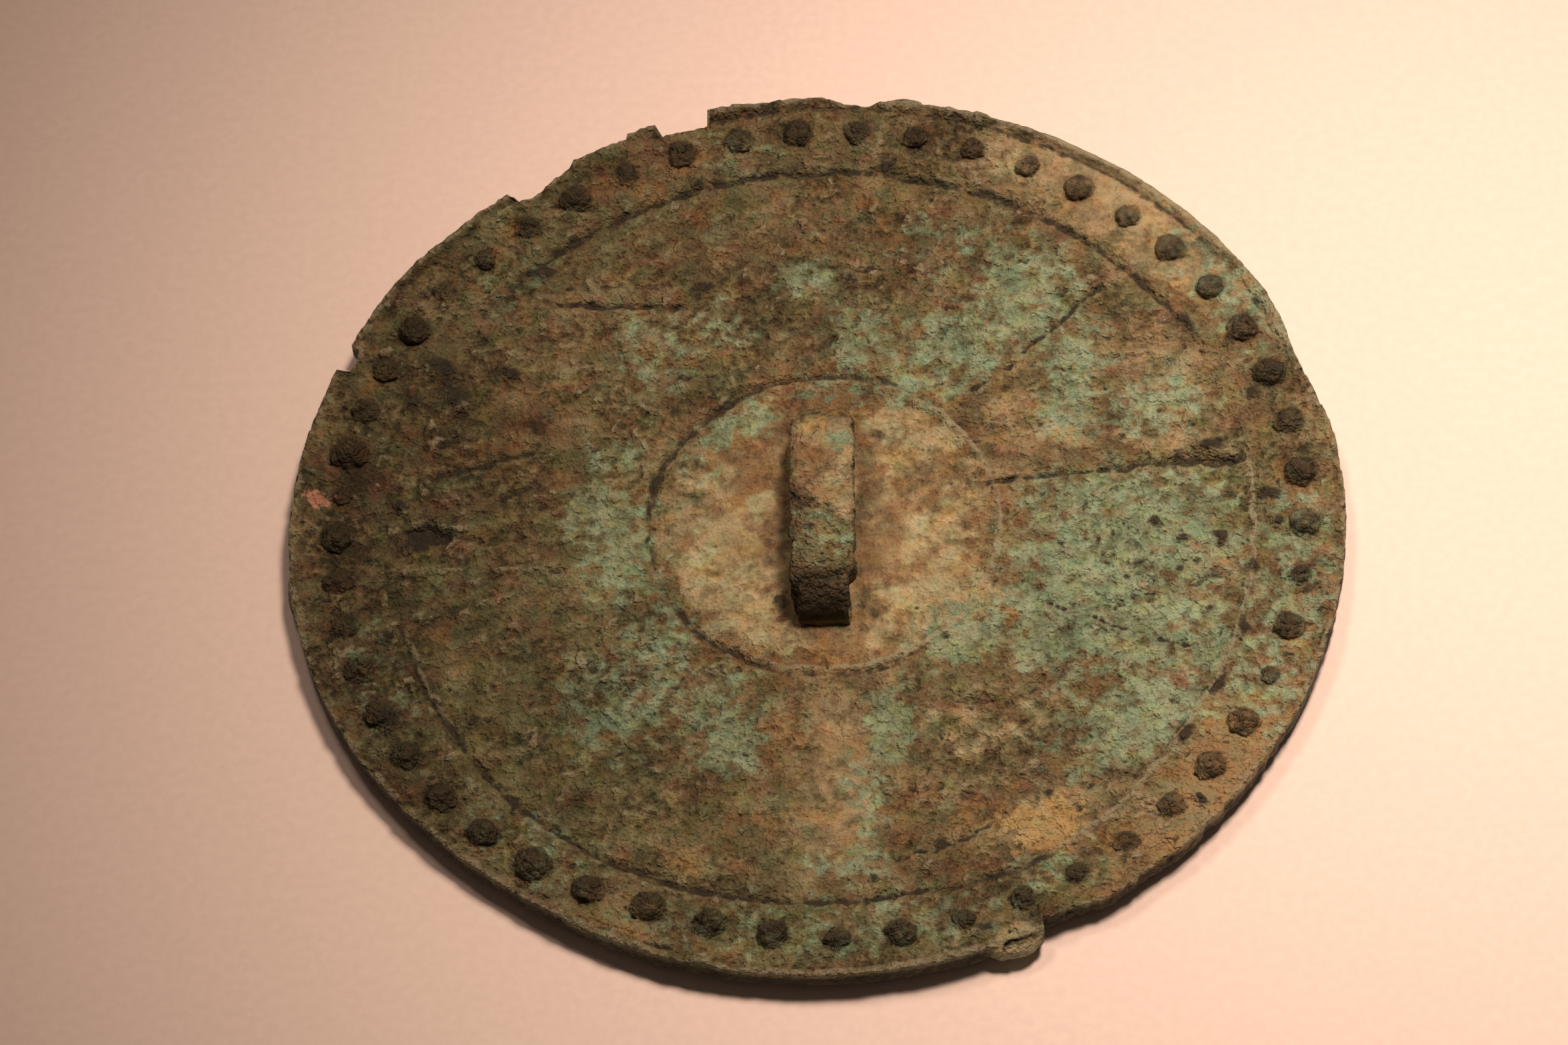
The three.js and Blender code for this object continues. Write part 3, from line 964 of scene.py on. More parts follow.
@dataclass(frozen=True)
class Casting:
    """The plate's mesh: the back as dense rings, the edge wall and the plainer face."""

    surface: Surface
    back_rings: int = 145
    wall_rows: int = 9
    face_rings: int = 34
    edge_zone: float = 57.5
    wall_bulge: float = 0.25
    shoulder_drop: float = 0.18
    rounding_drop: float = 0.62
    wall_loss: float = 0.25
    wall_grit: tuple[Grit, Grit] = (Grit(0.3, 2.6, 3, 3), Grit(0.12, 0.9, 1))
    lump_sink: float = 0.12
    face_bumps: Grit = Grit(0.05, 6.0, 3)
    face_scabs: Grit = Grit(1.0, 2.2, 2)
    face_scab_height: float = 0.06

    def back_points(self) -> list[Array]:
        """Points of the back.

        Returns:
            One array of points for each ring, from the centre outwards.
        """
        plate, noise = self.surface.plate, self.surface.noise
        plans, radii, wholes = [], [], []
        for index in range(self.back_rings + 1):
            count = max(1, 6 * index)
            angle = np.arange(count) * 360 / count
            nominal = plate.radius * index / self.back_rings
            share = smooth(np.full(count, nominal), self.edge_zone, plate.radius)
            radius = nominal + share * (plate.outline(angle, noise) - plate.radius)
            plans.append(plan_points(radius, angle))
            radii.append(radius)
            wholes.append(plate.whole(angle))
        plan, radius, whole = (np.concatenate(rings) for rings in (plans, radii, wholes))
        height = plate.back_height(radius) + self.surface.relief(plan)
        height += self.surface.lip(whole - radius, plan)
        cuts = np.cumsum([len(ring) for ring in plans])[:-1]
        return np.split(np.column_stack([plan, height]), cuts)

    def wall_points(self, rim: Array) -> list[Array]:
        """Rows of points down the edge, from just under the back to just above the face.

        Args:
            rim: The outermost ring of the back.

        Returns:
            One array of points for each row.
        """
        plate, noise = self.surface.plate, self.surface.noise
        radius = np.hypot(rim[:, 0], rim[:, 1])
        angle = angle_of(rim)
        low = plate.face_height(radius - plate.edge_rounding)
        rows = []
        for row in range(1, self.wall_rows + 1):
            drop = row / self.wall_rows
            height = rim[:, 2] + (low - rim[:, 2]) * drop
            below = max(0.0, (drop - self.rounding_drop) / (1 - self.rounding_drop))
            rounding = plate.edge_rounding * (1 - math.sqrt(1 - below**2))
            shoulder = max(0.0, 1 - drop / self.shoulder_drop) ** 2
            out = radius - rounding + self.wall_bulge * (1 - shoulder) * min(1.0, 4 * (1 - drop))
            spots = np.column_stack([plan_points(radius, angle), height])
            grit = sum(layer.at(noise, spots) for layer in self.wall_grit)
            out = out - np.maximum(0, self.wall_loss + grit)
            out = np.minimum(out, plate.whole(angle) - 0.05)
            for lump in EDGE_LUMPS:
                out = out + (lump.reach - self.lump_sink) * lump.swell(angle, height, plate.radius)
            rows.append(np.column_stack([plan_points(out, angle), height]))
        return rows

    def face_points(self) -> list[Array]:
        """Points of the reflecting face.

        Returns:
            One array of points for each ring, from the edge to the centre.
        """
        plate, noise = self.surface.plate, self.surface.noise
        rings = []
        for index in range(self.face_rings, -1, -1):
            count = max(1, 8 * index)
            angle = np.arange(count) * 360 / count
            nominal = (plate.radius - plate.edge_rounding - 0.5) * index / self.face_rings
            zone = (self.edge_zone - 4, plate.radius - plate.edge_rounding)
            share = smooth(np.full(count, nominal), *zone)
            radius = nominal + share * (plate.outline(angle, noise) - plate.radius)
            plan = plan_points(radius, angle)
            spots = lifted(plan, -8)
            bumps = np.abs(self.face_bumps.at(noise, spots))
            bumps += self.face_scab_height * smooth(self.face_scabs.at(noise, spots), 0.4, 0.9)
            easing = smooth(radius, plate.flat_patch_radius - 6, plate.flat_patch_radius + 10)
            height = plate.face_height(radius) + bumps * (0.25 + 0.75 * easing) * min(1, index)
            rings.append(np.column_stack([plan, height]))
        return rings

    def build(self) -> bpy.types.Object:
        """The closed plate as a mesh object.

        Returns:
            The object.
        """
        back = self.back_points()
        rings = [*back, *self.wall_points(back[-1]), *self.face_points()]
        counts = [len(ring) for ring in rings]
        starts = np.cumsum([0, *counts[:-1]])
        numbers = [np.arange(count) + start for count, start in zip(counts, starts)]
        faces = np.concatenate([zipped(one, two) for one, two in zip(numbers, numbers[1:])])
        return mesh_object("plate", np.concatenate(rings), faces)


@dataclass(frozen=True)
class BossRing:
    """The ring of nipple bosses, placed so that they crowd and stray round the band."""

    plate: Plate
    count: int = 51
    circle_radius: float = 57.6
    first_angle: float = 92.7
    foot_radius: float = 1.9
    height: float = 1.35
    segments: int = 26
    rings: int = 16
    crown_taper: float = 0.14
    roughness: float = 2.0
    grain: float = 900.0
    seed: int = 7
    lag: float = -2.9
    lag_waves: tuple[tuple[int, float, float], ...] = ((1, 2.8, 87), (2, 1.4, -53), (3, 0.64, 36))
    strays: tuple[Hump, ...] = (Hump(-108, 15, -1.6), Hump(128, 20, -0.7))
    uneven: tuple[tuple[int, float], ...] = (
        (1, 0.8), (2, 0.7), (3, 0.6), (4, 0.65), (6, 0.7), (8, 0.85), (10, 1.15), (12, 1.15),
        (14, 0.5), (16, 0.4), (19, 0.75), (20, 0.6), (21, 0.6), (22, 0.6), (23, 0.55), (25, 0.7),
        (28, 1.15), (30, 1.5), (36, 0.75), (39, 0.4), (40, 1.45), (41, 0.85), (42, 0.85),
        (43, 1.15), (44, 0.6), (45, 0.5), (46, 0.7), (48, 0.6), (50, 0.9),
    )

    def sizes(self) -> Array:
        """How large each boss is beside an ordinary one.

        Returns:
            One size for each boss.
        """
        sizes = np.ones(self.count)
        for index, size in self.uneven:
            sizes[index] = size
        return sizes

    def places(self) -> Array:
        """The foot of each boss on the bare band.

        Returns:
            One point for each boss, in millimetres.
        """
        even = self.first_angle - np.arange(self.count) * 360 / self.count
        angle = even + self.lag
        for turns, reach, peak in self.lag_waves:
            angle = angle + reach * np.cos(turns * np.radians(even - peak))
        radius = self.circle_radius + sum(stray.height(angle) for stray in self.strays)
        return np.column_stack([plan_points(radius, angle), self.plate.back_height(radius)])

    def tree(self) -> bpy.types.NodeTree:
        """The node tree that stands a rough blunt nipple on every point.

        Returns:
            The tree, with the boss's sizes, its roughness, a seed and its material as inputs.
        """
        tree = bpy.data.node_groups.new("boss_ring", "GeometryNodeTree")
        sockets = {"Points": "Geometry", "Foot Radius": "Float", "Height": "Float"}
        sockets |= {"Roughness": "Float", "Grain": "Float", "Seed": "Int", "Bronze": "Material"}
        for name, kind in sockets.items():
            tree.interface.new_socket(name, in_out="INPUT", socket_type=f"NodeSocket{kind}")
        tree.interface.new_socket("Bosses", in_out="OUTPUT", socket_type="NodeSocketGeometry")
        bench = NodeBench(tree)
        given = bench.add("NodeGroupInput", {}).outputs
        place = bench.add("GeometryNodeInputPosition", {}).outputs[0]

        # One nipple: a ball that narrows towards its crown.
        values = {"Segments": self.segments, "Rings": self.rings, "Radius": 1.0}
        ball = bench.add("GeometryNodeMeshUVSphere", values)
        up = bench.add("ShaderNodeSeparateXYZ", {0: place}).outputs["Z"]
        slender = bench.maths("MULTIPLY_ADD", up, -self.crown_taper, 1.0)
        thin = bench.add("ShaderNodeCombineXYZ", {"X": slender, "Y": slender, "Z": 1.0}).outputs[0]
        taper = bench.add("ShaderNodeVectorMath", {0: place, 1: thin}, operation="MULTIPLY")
        values = {"Geometry": ball.outputs["Mesh"], "Position": taper.outputs[0]}
        nipple = bench.add("GeometryNodeSetPosition", values).outputs["Geometry"]

        # Each stands with its own size and turn.
        size = bench.add("GeometryNodeInputNamedAttribute", {"Name": "size"}, data_type="FLOAT")
        size = size.outputs["Attribute"]
        foot = bench.times(bench.maths("SQRT", size), given["Foot Radius"])
        tall = bench.times(size, given["Height"])
        scale = bench.add("ShaderNodeCombineXYZ", {"X": foot, "Y": foot, "Z": tall}).outputs[0]
        values = {"Max": math.tau, "Seed": given["Seed"]}
        turn = bench.add("FunctionNodeRandomValue", values, data_type="FLOAT").outputs["Value"]
        spin = bench.add("ShaderNodeCombineXYZ", {"Z": turn}).outputs[0]
        values = {"Points": given["Points"], "Instance": nipple, "Rotation": spin, "Scale": scale}
        stand = bench.add("GeometryNodeInstanceOnPoints", values)
        values = {"Geometry": stand.outputs["Instances"]}
        real = bench.add("GeometryNodeRealizeInstances", values).outputs["Geometry"]

        # The whole ring is roughened, then dressed.
        values = {"Vector": place, "Scale": given["Grain"], "W": given["Seed"], "Detail": 3.0}
        rough = bench.add("ShaderNodeTexNoise", values, noise_dimensions="4D").outputs["Fac"]
        amount = bench.times(bench.minus(rough, 0.5), given["Roughness"])
        normal = bench.add("GeometryNodeInputNormal", {}).outputs[0]
        push = bench.add("ShaderNodeVectorMath", {0: normal, "Scale": amount}, operation="SCALE")
        values = {"Geometry": real, "Offset": push.outputs[0]}
        moved = bench.add("GeometryNodeSetPosition", values).outputs["Geometry"]
        dress = bench.add("GeometryNodeSetMaterial", {"Geometry": moved, "Material": given["Bronze"]})
        bench.add("NodeGroupOutput", {"Bosses": dress.outputs["Geometry"]})
        return tree

    def build(self, bronze: bpy.types.Material) -> bpy.types.Object:
        """All the bosses as one mesh of closed nipples, their lower halves inside the band.

        Args:
            bronze: Material that the tree sets.

        Returns:
            The mesh object.
        """
        made = mesh_object("bosses", self.places(), [])
        sizes = made.data.attributes.new("size", "FLOAT", "POINT")
        sizes.data.foreach_set("value", self.sizes())
        tree = self.tree()
        modifier = made.modifiers.new("bosses", "NODES")
        modifier.node_group = tree
        values = {
            "Foot Radius": self.foot_radius * MM,
            "Height": self.height * MM,
            "Roughness": self.roughness * MM,
            "Grain": self.grain,
            "Seed": self.seed,
            "Bronze": bronze,
        }
        for item in tree.interface.items_tree:
            if item.in_out == "INPUT" and item.name in values:
                modifier[item.identifier] = values[item.name]
        settle(made)
        return made


@dataclass(frozen=True)
class CordLoop:
    """The bridge loop: a strap bent over a gap, its crust broken off the near leg."""

    plate: Plate
    noise: Noise
    width: float = 8.0
    height: float = 8.2
    half_length: float = 15.0
    gap_height: float = 5.4
    gap_half_length: float = 11.4
    squareness: float = 2.6
    sunk: float = 0.9
    steps: int = 84
    sides: int = 44
    corner: float = 3.4
    crust: float = 0.6
    x: float = 0.6
    y: float = 0.4
    ledge: float = -11.4
    ledge_slope: float = 0.2
    ledge_waver: Grit = Grit(0.9, 2.2, 2)
    skin: Grit = Grit(0.26, 2.2, 4, 13, 0.65)
    scabs: Grit = Grit(1.0, 1.6, 2, 29)
    scab_height: float = 0.22
    chips: Grit = Grit(1.0, 2.4, 2, 51)
    chip_depth: float = 0.5
    crack: Stroke = Stroke((-4.4, -0.6), (-0.4, -2.9), 0.4, -1.0)
    shrink: float = 0.15
    pinch: float = 0.34

    def arch(self, turn: Array, half_length: float, height: float) -> Array:
        """Points on a squared arch in the upright plane along the loop.

        Args:
            turn: Place along the arch, from 0 at the far foot to pi at the near one.
            half_length: Half of the arch's length.
            height: Height of its crown.

        Returns:
            Distance along the loop and height, one row for each place.
        """
        power = 2 / self.squareness
        along = np.sign(np.cos(turn)) * np.abs(np.cos(turn)) ** power
        return np.column_stack([half_length * along, height * np.sin(turn) ** power])

    def turns(self) -> Array:
        """Places along the arch at even distances, since the squared arch crowds at its corners.

        Returns:
            The places, from 0 at the far foot to pi at the near one.
        """
        fine = np.linspace(0, math.pi, 4000)
        half_length = (self.half_length + self.gap_half_length) / 2
        trace = self.arch(fine, half_length, (self.height + self.gap_height) / 2)
        length = np.concatenate([[0], np.cumsum(np.hypot(*np.diff(trace, axis=0).T))])
        return np.interp(np.linspace(0, length[-1], self.steps), length, fine)

    def build(self) -> bpy.types.Object:
        """The strap as a closed mesh with both feet sunk in the disc.

        Returns:
            The mesh object.
        """
        turn = self.turns()
        outer = self.arch(turn, self.half_length, self.height)
        inner = self.arch(turn, self.gap_half_length, self.gap_height)
        deep = np.array([0, -self.sunk])
        outer = np.vstack([outer[0] + deep, outer, outer[-1] + deep])
        inner = np.vstack([inner[0] + deep, inner, inner[-1] + deep])
        corner = np.linspace(0, math.tau, self.sides, endpoint=False)
        power = 2 / self.corner
        side = np.sign(np.cos(corner)) * np.abs(np.cos(corner)) ** power
        over = np.sign(np.sin(corner)) * np.abs(np.sin(corner)) ** power
        middle, half = (outer + inner) / 2, (outer - inner) / 2
        base = float(self.plate.back_height(np.zeros(1))[0])
        rows = []
        for spot, reach in zip(middle, half):
            ring = spot + over[:, None] * reach
            rows.append(np.column_stack([side * self.width / 2, ring[:, 0], ring[:, 1] + base]))
        side, over = np.tile(side, len(rows)), np.tile(over, len(rows))
        points = self.weathered(np.concatenate(rows), side, over, base) + (self.x, self.y, 0)
        rings = [np.arange(self.sides) + row * self.sides for row in range(len(rows))]
        ends = [points[ring].mean(axis=0) for ring in (rings[0], rings[-1])]
        last = len(points)
        numbers = [np.array([last]), *rings, np.array([last + 1])]
        faces = np.concatenate([zipped(one, two) for one, two in zip(numbers, numbers[1:])])
        return mesh_object("loop", np.vstack([points, ends]), faces)

    def weathered(
        self, points: Array, side: Array, over: Array, base: float
    ) -> Array:
        """The strap's points with the crust on its crown, its broken end, a crack and pits.

        Args:
            points: Points of the plain strap.
            side: Which side each point is on, from -1 to 1.
            over: 1 on the strap's outer face and -1 on its inner one.
            base: Height of the disc under the loop.

        Returns:
            The moved points.
        """
        x, y, z = points.T
        plan = points[:, :2]
        ledge = self.ledge + self.ledge_slope * x
        ledge = ledge + self.ledge_waver.at(self.noise, lifted(plan, 31))
        bare = smooth(ledge - y, -0.15, 0.35)
        lower = smooth(-y, -1.5, 3)
        rough = self.skin.at(self.noise, points) * (0.6 + 0.7 * lower)
        scabs = self.scab_height * smooth(self.scabs.at(self.noise, points), 0.25, 0.8) * lower
        dent = self.crack.rise * self.crack.share(plan) * (over > 0.4)
        chips = self.chip_depth * smooth(self.chips.at(self.noise, points), 0.25, 0.6) * side**4
        out = rough + scabs - self.crust * bare + dent - chips - self.shrink
        x = x + np.clip(side, -1, 1) ** 3 * (out - 0.25 * bare)
        x = x * (1 - self.pinch * smooth(y, 10.0, 15.5) ** 1.5)
        out = np.clip(over, -1, 1) ** 3 * out
        steep = smooth(np.abs(y), 9.5, 13.5)
        z = z + out * (1 - steep)
        y = y + out * steep * np.sign(y)
        top = base + self.height - 0.04
        return np.column_stack([x, y, np.minimum(z, top)])


# ------------------------------------------------------------------ the finish


class Stain(Enum):
    """A coloured growth, tone, wear, dirt, painted shade or painted highlight that a vertex attribute
    spreads over the casting.
    """

    VERDIGRIS = "verdigris"
    CREAM = "cream"
    RUST = "rust"
    PALE = "pale"
    OCHRE = "ochre"
    COPPER = "copper"
    # Dirt, with painted shade in hollows, ring grooves, on the edge wall and on the loop.
    SOOT_AND_SHADE = "soot"
    # Worn metal, with a painted highlight on ridges and ring crests.
    WEAR_AND_HIGHLIGHT = "wear"
    MOSS = "moss"
    # Tone, with painted shadow round the loop, on its near leg, inside the north lip and at the inner
    # ring's top.
    TONE_AND_SHADE = "tone"
    EVEN = "even"


STAIN_PATCHES: dict[Stain, tuple[Patch, ...]] = {
    Stain.VERDIGRIS: patches(
        (32, -9, 10, 14, 0, 1.0), (40, -2, 12, 9, 0, 0.85), (33, 3, 7, 5, 0, 1.0),
        (43, -17, 8, 9, 30, 0.75), (37, -28, 11, 6, 35, 0.85), (27, -14, 6, 8, 0, 0.9),
        (25, 33, 7, 8, 20, 0.8), (17, 26, 7, 6, 30, 0.9), (13, 20, 6, 4, 0, 0.6),
        (31, 24, 5, 5, -30, 0.8), (30, 16, 4, 6, 0, 0.9), (41, 16, 7, 5, 20, 0.6),
        (-27, 3, 4, 5, 0, 0.75), (-23, -4, 5, 9, 0, 0.62), (-19, -15, 6, 7, 0, 0.58),
        (-24, -24, 8, 8, 0, 0.6), (-13, -25, 7, 6, 0, 0.55), (-25, 11, 4, 4, 0, 0.5),
        (-20, 26, 6, 6, 0, 0.5), (-12, 29, 5, 5, 0, 0.4), (-1.5, 36, 3.5, 3.5, 0, 0.75),
        (5, 27, 4, 6, 0, 0.65), (3, 20.5, 6, 2.5, 0, 0.6), (15, 40, 6, 6, 0, 0.4),
        (8.5, -28, 3.5, 6, 0, 0.95), (-10.5, -30, 4, 5, 0, 0.8), (5.5, -38, 2.5, 9, 0, 0.6),
        (3.5, -47, 5, 3, 0, 0.7), (17, -16, 6, 4.5, 20, 0.95), (-10, 15, 6, 2.6, 32, 0.85),
        (-14.5, 9.5, 3, 3, 50, 0.4), (2, -55.5, 24, 5, 0, 0.42), (25, -50, 9, 4, 30, 0.32),
        (56, -10, 6, 16, 0, 0.55), (52, -25, 5, 8, 0, 0.5), (-37, 37, 6, 4, 45, 0.4),
        (50, 33, 5, 12, 30, 0.55), (-34, -44, 9, 5, -40, 0.4), (-52, -20, 5, 12, 10, 0.3),
        (-10, 55, 5, 4, 0, 0.4),
    ),
    Stain.CREAM: patches(
        (-11, -4.5, 6.5, 8, 0, 1.0), (-7.5, -12, 6, 5, -30, 0.85), (-5, -16.4, 3, 1.6, 0, 1.0),
        (13, -11.5, 7.5, 5, 25, 1.0), (14, -2, 5, 6, 0, 0.7), (11.5, 13, 6.5, 3.5, -20, 0.95),
        (8, 6, 3, 7, 0, 0.35), (17.5, 5, 2.5, 6, 0, 0.5), (-7.6, 3.9, 2.2, 1.6, 0, 0.9),
        (-13.5, 7, 4, 3, 0, 0.5), (23.1, 52, 2.2, 2.0, 0, 1.0), (22.4, -59.2, 3.4, 2.0, 20, 2.2),
        (26.2, -39.4, 2.6, 1.0, 10, 0.9), (2.8, 5.4, 1.3, 2.0, 0, 0.9), (18, -29, 10, 4, 0, 0.4),
        (31, 12, 8, 4, -15, 0.3),
    ),
    Stain.RUST: patches(
        (0.9, 0.5, 20.5, 20.5, 0, 0.85), (3, 45, 12, 6, 0, 0.35), (-5, -29, 3, 2.4, 0, 0.8),
        (23, -10, 2.2, 5, 0, 0.8), (48, -35, 6, 12, -38, 1.0), (37, -48, 9, 5, 38, 0.8),
        (56, -20, 4, 8, -20, 0.7), (-53, 24, 4, 8, 20, 0.4), (-20, -56, 12, 3, -20, 0.4),
        (0.5, -18.2, 10, 3.0, 0, 1.3), (-1, 17.5, 8, 4, 0, 1.1), (-18.5, -6, 2, 5, 0, 0.6),
        (-10, 8, 6, 5, 0, 0.8), (7.5, 5, 4, 9, 0, 0.9), (17.5, -2, 3, 9, 0, 0.9),
        (-3.5, 4, 3, 10, 0, 0.5), (17, -42, 9, 5, 20, 0.4), (57, 4, 4, 5, 0, 0.5),
        (-36, 16, 10, 6, 20, 0.25), (*polar(55.5, 112), 10, 2.6, 202, 0.7),
        (*polar(56.5, 136), 10, 2.6, 226, 0.5), (-13, -42, 8, 6, 0, 0.3),
    ),
    Stain.PALE: patches(
        (0, 0, 21, 21, 0, 0.3), (31, 48, 11, 5.0, -33, 1.2), (45, 38, 11, 5.0, -52, 1.1),
        (2, -40, 6, 12, 0, 0.7), (4, -28, 6, 6, 0, 0.45), (25, 14, 9, 6, -15, 0.6),
        (41, 24, 9, 5, -10, 0.7), (44, 12, 8, 4, 0, 0.5), (29, -41, 10, 6, 30, 0.6),
        (45, -5, 6, 5, 0, 0.35),
    ),
    Stain.OCHRE: patches((26.0, -42.6, 4.6, 3.6, 20, 1.5), (-1.5, 9, 3, 6, 0, 0.4)),
    Stain.COPPER: patches((-60.0, 5.0, 1.9, 0.9, -18)),
    Stain.MOSS: patches(
        (-33, -33, 18, 12, -40, 1.0), (-12, -44, 14, 7, 0, 0.9), (-40, -22, 9, 14, 0, 0.7),
        (-8, -57, 26, 5, 0, 1.0), (28, -52, 12, 6, 25, 0.7), (-52, 22, 6, 12, 0, 0.6),
        (-47, -8, 10, 18, 0, 0.6), (-38, 42, 12, 6, 45, 0.8), (33, 36, 8, 8, 0, 0.6),
        (44, 4, 9, 8, 0, 0.8), (-24, -5, 9, 16, 0, 0.9), (-11, 20, 10, 7, 0, 0.6),
        (12, 24, 10, 8, 0, 0.5), (-4, 48, 16, 4, 0, 0.5),
    ),
}
# What lies on the loop, above the disc's own colours.
LOOP_PATCHES: dict[Stain, tuple[Patch, ...]] = {
    Stain.PALE: patches((0.4, 9.5, 4.2, 6.0, 0, 0.95), (1.5, 0.0, 3.2, 6.5, 0, 0.75)),
    Stain.OCHRE: patches((-1.2, 10.5, 2.2, 3.4, 0, 0.75), (1.5, 12.6, 2.4, 1.5, 0, 0.8)),
    Stain.CREAM: patches(
        (3.0, 4.2, 1.1, 2.0, 0, 2.4), (1.6, 1.2, 1.6, 1.4, 0, 0.9), (2.2, -3.4, 1.4, 1.6, 0, 0.6),
    ),
    Stain.VERDIGRIS: patches(
        (2.2, 7.2, 1.4, 1.8, 0, 0.9), (-1.4, -3.2, 2.4, 3.2, 0, 0.3),
        (1.0, -7.5, 3.4, 1.8, 0, 0.35),
    ),
    Stain.RUST: patches((-1.2, 4.5, 2.4, 3.0, 0, 0.8)),
    Stain.MOSS: patches((0, -5, 4, 5, 0, 0.8)),
    # The tone patch at (0, -13.5) and the soot patch at (0, -14.6) are painted shade on the near leg.
    Stain.TONE_AND_SHADE: patches((0, 7, 5, 8, 0, 0.4), (0, -3, 5, 6, 0, 1.2), (0, -13.5, 5, 3.2, 0, -0.7)),
    Stain.SOOT_AND_SHADE: patches(
        (0, -14.6, 5, 3.2, 0, 0.75), (-2.4, -1.8, 2.0, 0.5, -30, 1.0), (-3.6, -4.5, 0.8, 4, 0, 0.6),
    ),
}
# Broad lights and darks of the skin, beside its usual tone, with painted shadow round the loop,
# inside the north lip and along the top of the inner ring.
TONE_AND_SHADE_PATCHES = (
    *patches(
        (-52, -5, 9, 28, 0, -0.7), (-42, 5, 14, 26, 0, -0.4), (-30, -30, 14, 14, 0, -0.15),
        (-24, -2, 6, 12, 0, 0.5), (-27, 37, 7, 6, 0, 0.5), (48, -40, 5, 5, -38, 0.6),
        (48, -36, 7, 14, -38, 1.6), (49, -30, 4, 5, -30, 0.8), (36, -6, 12, 16, 0, 0.3),
        (28, 26, 9, 12, 0, 0.4), (36, -16, 3, 2, -25, -0.8), (37, -49, 10, 5, 38, 0.7),
        (-24, -52, 13, 5, -25, 0.6), (35, 46, 16, 5, -42, 0.05), (-6, 40, 26, 10, 0, -0.45),
        # The patch at (6.2, 1) is painted shadow on the disc right of the loop.
        (14, -3, 4, 12, 0, -0.2), (6.2, 1, 2.6, 9, 0, -0.8), (-18, 30, 12, 8, 0, 0.3),
        (35, -35, 12, 8, 0, 0.2), (35, 15, 18, 14, 0, 0.35), (0, -35, 12, 16, 0, 0.3),
        # The patches at (0, 18) and (-12, 20) are painted shade at the inner ring's top, and (0, 2) is
        # painted shadow round the loop.
        (45, -5, 14, 18, 0, 0.25), (-5, -20.5, 10, 3, 0, -0.3), (0, 18, 8, 2.5, 0, -0.6),
        (-12, 20, 8, 3, 35, -0.9), (0, 2, 6.5, 14, 0, -0.55),
    ),
    # Painted shadow in a thin line inside the lip on the north side.
    *(
        Patch(*polar(61.6, angle), 3.6, 0.6, angle + 90, -1.3)
        for angle in (76, 70, 64, 58, 52, 46, 101, 95, 128, 135, 142, 148)
    ),
    *(
        Patch(*polar(radius, angle), 6, 3.5, angle + 90, -0.5)
        for angle, radius in ((160, 58), (176, 57), (190, 58), (205, 57), (218, 58))
    ),
)


@dataclass(frozen=True)
class Colour:
    """A colour in linear light."""

    red: float
    green: float
    blue: float

    def rgba(self) -> tuple[float, float, float, float]:
        """The colour with full cover."""
        return self.red, self.green, self.blue, 1.0


